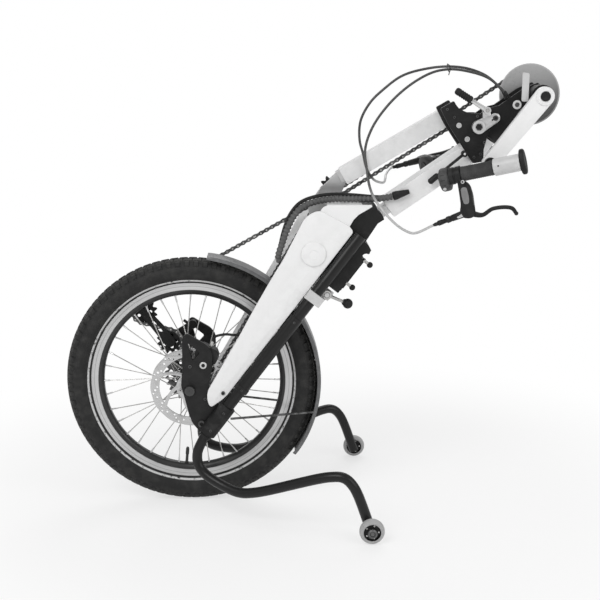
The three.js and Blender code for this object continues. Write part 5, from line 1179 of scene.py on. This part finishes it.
NOZZLE = (V(-4, 0, -73), V(-56, 0, -82))
near_route = [
    (603.8, -20, 834.9), (578.4, -20, 854.8), (540.8, -20, 866.8), (503.9, -20, 871), (471.3, -20, 865),
    (430.7, -20, 842.8), (389.9, -20, 806.4), (357.9, -22, 761.8), (343.9, -27, 720.8), (346.3, -38, 683.7),
    (351.1, -54, 650.2), (361.4, -74, 625.8), (390.6, -90, 590.6), (411.3, -94, 574.3), (432, -98, 567),
]
far_route = [
    (603.8, -6, 836.5), (578.4, -4, 858), (545, 0, 871.5), (510.1, 8, 876), (468.4, 18, 872.5),
    (418.5, 20, 858.5), (381.2, 20, 831.6), (356.5, 20, 807.1), (338.1, 20, 771.9), (336.4, 19, 734.6),
    (343, 18, 709.2), (352, 20, 676), (366, 30, 656), (382, 50, 647.5), (392, 80, 645), (398, 115, 648),
    (404, 150, 656),
]
for side, name, route, port, look in (
    (NEAR, "near", near_route, -20, two_part_hose("near_hose_jacket", "Z", 0.66, 0.61)),
    (FAR, "far", far_route, -8, two_part_hose("far_hose_jacket", "Y", 0.022, 0.032)),
):
    points = [beyond(V(630.3, port, 794.8), V(615, port, 822), more) for more in (0.3, 2.6)]
    points += route
    points += [BRAKE[side] @ beyond(*NOZZLE, more) for more in (10.4, 0.6)]
    line = path_through(points, 4)
    hose = Shape().tube(line, 2.5, 14)
    for end, inward in ((line[0], line[1]), (line[-1], line[-2])):
        hose.turned([(0, 0), (3.6, 0), (3.6, 5), (2.6, 9), (0, 9)], end, inward - end, 16, 1)
    piece("hose_run_" + name, hose, "crank_bracket", [look, black_metal], ["hose_" + name])
loop = ((-24, 867), (-25, 873), (-19, 878), (8, 881), (13, 876), (10, 871), (-16, 866), (-24, 867))
tie = Shape().tube([V(504, y, z) for y, z in loop], 0.9, 8)
tie.tube([V(504, -22, 868), V(502, -23, 860)], 0.9, 8)
piece("hose_tie", tie, "crank_bracket", [black_plastic])

loom_route = [
    (396, -39.3, 630), (367, -39.3, 625.6), (320, -41, 625.8), (284, -43, 626.2), (250, -50, 622.5),
    (222.8, -60, 613.8), (206.2, -64, 597.2), (194.5, -66, 575.6), (182.4, -66, 542.3), (175.2, -66, 515.7),
    (178.9, -66, 507.5),
]
caliper_route = [
    (177, -66, 515), (178, -66, 500), (168, -66, 455), (140, -65, 400), (118, -64, 368),
    (100.3, -64, 361.5), (70, -63, 363), (53, -60, 359),
]
line = path_through(loom_route, 1.25)
loom = Shape().tube(line, [6.1 + 0.85 * math.sin(TURN * i / 6) for i in range(len(line))], 20)
boot = [(0, 0), (4.4, 0), (8.6, 26), (8.6, 31), (7.2, 33), (0, 33)]
loom.turned(boot, line[0] + V(33, 0, 9.5), V(-33, 0, -9.5), 20, 1)
strand = []
for i, p in enumerate(line):
    bulge = math.sin(math.pi * min(1.0, i / (len(line) - 1) * 1.05)) ** 0.8
    heading = ahead(line, i)
    outward = V(heading.z, 0, -heading.x).normalized()
    strand.append(p + outward * 9.5 * bulge + V(0, 3.0 * bulge, 0))
loom.tube(strand[8:-6:3], 3.4, 14, 1)
up = V(math.cos(math.radians(64)), 0, math.sin(math.radians(64)))
seat = V(0, -56, WHEEL) + up * 94.3
hose_line = path_through(caliper_route + [seat + up * 21, seat + up * 0.3], 4)
loom.tube(hose_line, 2.5, 12, 1)
loom.turned([(0, 0), (3.8, 0), (3.8, 6), (2.6, 10), (0, 10)], hose_line[-1], up, 16, 2)
made = piece("wrapped_loom", loom, None, [wrap, black_plastic, steel], ["cable_loom"])
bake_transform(made)

# Grips
bar_profile = [
    (11, 0), (15.2, 0), (16, 0.9), (16, 14), (15.7, 14.4), (16, 14.8), (16, 47.9), (15.2, 48.7), (0, 48.7),
]
stop_profile = [
    (0, 0), (20.8, 0), (22.6, 0.9), (23.5, 2.8), (23.5, 6.2), (22.6, 8.1), (20.8, 9), (8, 9), (0, 8.4),
]
GRIP_LONG = 62
ribs = []
for i in range(61):
    along = GRIP_LONG * i / 60
    ease = min(1.0, along / 2.5, (GRIP_LONG - along) / 2.5)
    rib = 0.45 * (1 - math.cos(TURN * along / 4.0)) / 2 if 6 < along < 56 else 0.0
    ribs.append((12.2 + 1.7 * math.sqrt(ease) - rib, along))
sleeve_profile = [(11.3, 0)] + ribs + [(11.3, GRIP_LONG)]
for side, name in NAMES:
    grip = GRIP[side]
    body = "grip_" + name
    arm_in, arm_face, flange = [
        grip.inverted() @ V(ARM_END[0], side * y, ARM_END[1]) for y in (82.3, 92.3, 97.3)
    ]
    deep = (arm_face - arm_in).length
    collar = [
        (0, 0), (7, 0), (7, deep), (11.6, deep), (12, deep + 0.4), (12, deep + 4.6), (11.4, deep + 5),
        (0, deep + 5),
    ]
    core = Shape().turned([(0, 0), (10.6, 0), (11, 0.5), (11, 104)], (-36, 0, 0), ALONG, 40, 1, grip)
    core.turned(bar_profile, (68.3, 0, 0), ALONG, 56, 0, grip)
    core.turned(collar, arm_in, arm_face - arm_in, 36, 1, grip)
    core.tube([flange, flange.lerp(V(90, 0, 0), 0.5), V(90, 0, 0)], 8, 24, 1, grip)
    core.pin(1.6, -16.2, -15.2, 79, 2, 12, 2, 0.2, grip)
    looks = [pale, black_metal, black_plastic]
    piece("grip_bar_" + name, core, body, looks, ["grip_core_" + name])
    rubber = Shape().turned(sleeve_profile, (6, 0, 0), ALONG, 56, 0, grip)
    piece("rubber_sleeve_" + name, rubber, body, [grip_look], ["grip_rubber_" + name])
    squeezed = grip @ Matrix.Diagonal((1, 28 / 47, 1, 1))
    stop = Shape().turned(stop_profile, (117.3, 0, 0), ALONG, 64, 0, squeezed)
    piece("oval_stop_" + name, stop, body, [black_plastic], ["grip_stop_" + name])

# Brake levers
body_shares = [
    (-0.03, -0.1), (-0.04, -0.355), (-0.054, -0.565), (-0.1, -0.68), (-0.06, -0.8), (0.045, -0.83),
    (0.107, -0.83), (0.168, -0.8), (0.18, -0.61), (0.194, -0.4), (0.17, -0.21), (0.055, -0.1),
]
body_outline = rounded(scaled(body_shares, 100), 7, 6)
stalk = [(x, z) for x, z in body_outline if z > -62]
# A raised pale grey panel on each face of a brake body is a painted highlight.
painted_highlight_inset = rounded([(1.0, -24), (12.4, -24), (13.6, -42), (11.8, -56), (1.2, -56), (-0.4, -40)], 5, 5)
# A pale aluminium leaf low on each brake body is a painted highlight.
painted_highlight_leaf = rounded([(-17, -76.2), (-2, -70.5), (5.5, -66.5), (5.5, -72), (-4, -77.5), (-15, -79.4)], 2.2, 4)
clamp_profile = [
    (11.4, 0), (15.3, 0), (16, 0.7), (16, 8.4), (15, 9.2), (15, 11.8), (16, 12.6), (16, 21), (15.3, 21.7),
    (11.4, 21.7),
]
dial_profile = [(0, 0), (17.4, 0), (20.6, 1.4), (22, 4), (22, 13), (20.8, 16.6), (17, 18.3), (0, 18.3)]
root, tip = NOZZLE
long = (tip - root).length
nozzle_profile = [
    (0, 0), (6.6, 0), (6.9, 4), (6.2, 24), (5.4, 26), (5.4, 27), (6.2, 27.6), (6.2, 34), (5.2, 34.8),
    (4.6, 36), (4.6, 43), (5, 43.6), (5, long - 0.6), (4.4, long), (0, long),
]
HINGE = (10.7, -75.6)
blade_line = [(0, 0), (19, -6.0), (40.8, 1.8), (74.6, -3.6), (81, -14.6)]
blade_outline = ribbon(blade_line, [5.6, 4.0, 3.6, 3.4, 3.0])
for side, name in NAMES:
    brake = BRAKE[side]
    body = Shape()
    for outline, y0, y1, look, edge in (
        (body_outline, -7, -4.3, 0, 1.8),
        (body_outline, 4.3, 7, 0, 1.8),
        (stalk, -4.6, 4.6, 0, 0.3),
        # The raised panels in look 3 are a painted highlight.
        (painted_highlight_inset, -7.5, -6.6, 3, 0.4),
        (painted_highlight_inset, 6.6, 7.5, 3, 0.4),
        # The aluminium leaf is a painted highlight.
        (painted_highlight_leaf, -7.4, -6.6, 2, 0.3),
    ):
        body.plate([outline], y0, y1, look, edge, brake)
    body.turned(clamp_profile, (-16, 0, 0), ALONG, 48, 0, brake)
    body.turned(dial_profile, (-34, 0, -4), ALONG, 48, 1, brake)
    for y, z in spots(14, 20.8, 0, -4):
        body.turned([(0, 0), (1.5, 0), (1.5, 8), (0, 8)], (-29.5, y, z), ALONG, 8, 0, brake)
    screw = [(0, 0), (3.4, 0), (3.4, 3), (2.6, 3.4), (0, 3.4)]
    body.turned(screw, (-26, -14.6, -18.6), (0, -0.7, -0.7), 20, 2, brake)
    body.bolt(9, -13.5, -13.6, NEAR, 3.4, 3, 2, 1, brake)
    body.turned(nozzle_profile, root, tip - root, 28, 0, brake)
    body.pin(2.5, -7.4, 7.4, *HINGE, 20, 2, 0.4, brake)
    looks = [black_metal, dark_grey, aluminium, painted_highlight_grey]
    piece("brake_lever_body_" + name, body, "grip_" + name, looks, ["brake_body_" + name])
    hinge = brake @ at(HINGE[0], 0, HINGE[1])
    blade = Shape().plate([blade_outline, circle(2.8, 20)], -3.9, 3.9, 0, 1.5, hinge)
    blade.ball(3.9, (blade_line[-1][0], 0, blade_line[-1][1]), 0, hinge, 8)
    node = "brake_blade_" + name
    piece("brake_lever_blade_" + name, blade, node, [black_metal], [node])

# CAD nodes that keep their own shape
for node, look, edge in (
    ("fork_bridge", black_rail, 0.5), ("wheel_axle", dark_steel, 0.4), ("caliper", black_metal, 1.2),
    ("dock_box", black_metal, 1.2), ("rail_clamp", aluminium, 0.9), ("derailleur_body", black_metal, 1.0),
    ("derailleur_cage", black_metal, 0.3), ("mast_knuckle", white, 1.2), ("mast_foot", black_metal, 1.8),
    ("lower_beam", white, 1.4), ("upper_beam", white, 1.4), ("idler_bracket", aluminium, 0.5),
    ("release_lever", black_plastic, 0.7), ("crank_bracket", black_metal, 0.9),
):
    dress(node, look, edge)


# Floor, light and background
def studio():
    floor_look = bpy.data.materials.new("floor")
    t = Tree(floor_look, clear=True)
    matt = t.node("ShaderNodeBsdfDiffuse", tone(0.92))
    glow = t.node("ShaderNodeEmission", tone(1), 1)
    place = t.node("ShaderNodeTexCoord").outputs["Object"]
    away = t.node("ShaderNodeVectorMath", place, operation="LENGTH").outputs["Value"]
    fade = t.spread(away, 0.45, 1.1, 0.62, 1.0, smooth=True)
    share = t.maths("MULTIPLY", t.rays("Is Camera Ray", "Is Glossy Ray", "Is Transmission Ray"), fade)
    mixed = t.node("ShaderNodeMixShader", share, matt.outputs["BSDF"], glow.outputs["Emission"])
    t.node("ShaderNodeOutputMaterial", mixed.outputs["Shader"])

    size, drop = 30.0, -0.0005
    mesh = bpy.data.meshes.new("floor")
    corners = [(-size, -size, drop), (size, -size, drop), (size, size, drop), (-size, size, drop)]
    mesh.from_pydata(corners, [], [(0, 1, 2, 3)])
    mesh.materials.append(floor_look)
    floor = bpy.data.objects.new("floor", mesh)
    scene.collection.objects.link(floor)

    scene.world = bpy.data.worlds.new("studio")
    t = Tree(scene.world, clear=True)
    ambient = t.node("ShaderNodeBackground", tone(1), 0.5).outputs["Background"]
    backdrop = t.node("ShaderNodeBackground", tone(1), 1).outputs["Background"]
    mixed = t.node("ShaderNodeMixShader", t.rays("Is Camera Ray"), ambient, backdrop)
    t.node("ShaderNodeOutputWorld", mixed.outputs["Shader"])

    for name, place, aim, power, width in (
        ("key", (-1.3, -1.9, 2.3), (0, 0, 0.4), 34, 1.6),
        ("fill", (1.9, -1.4, 1.5), (0.1, 0, 0.4), 13, 1.4),
        ("back", (0.3, 2.0, 2.2), (0, 0, 0.4), 16, 1.6),
    ):
        data = bpy.data.lights.new(name, "AREA")
        data.energy, data.size = power, width
        lamp = bpy.data.objects.new(name, data)
        lamp.location = place
        lamp.rotation_euler = (Vector(aim) - Vector(place)).to_track_quat("-Z", "Y").to_euler()
        scene.collection.objects.link(lamp)
    scene.view_settings.view_transform = "Standard"


studio()
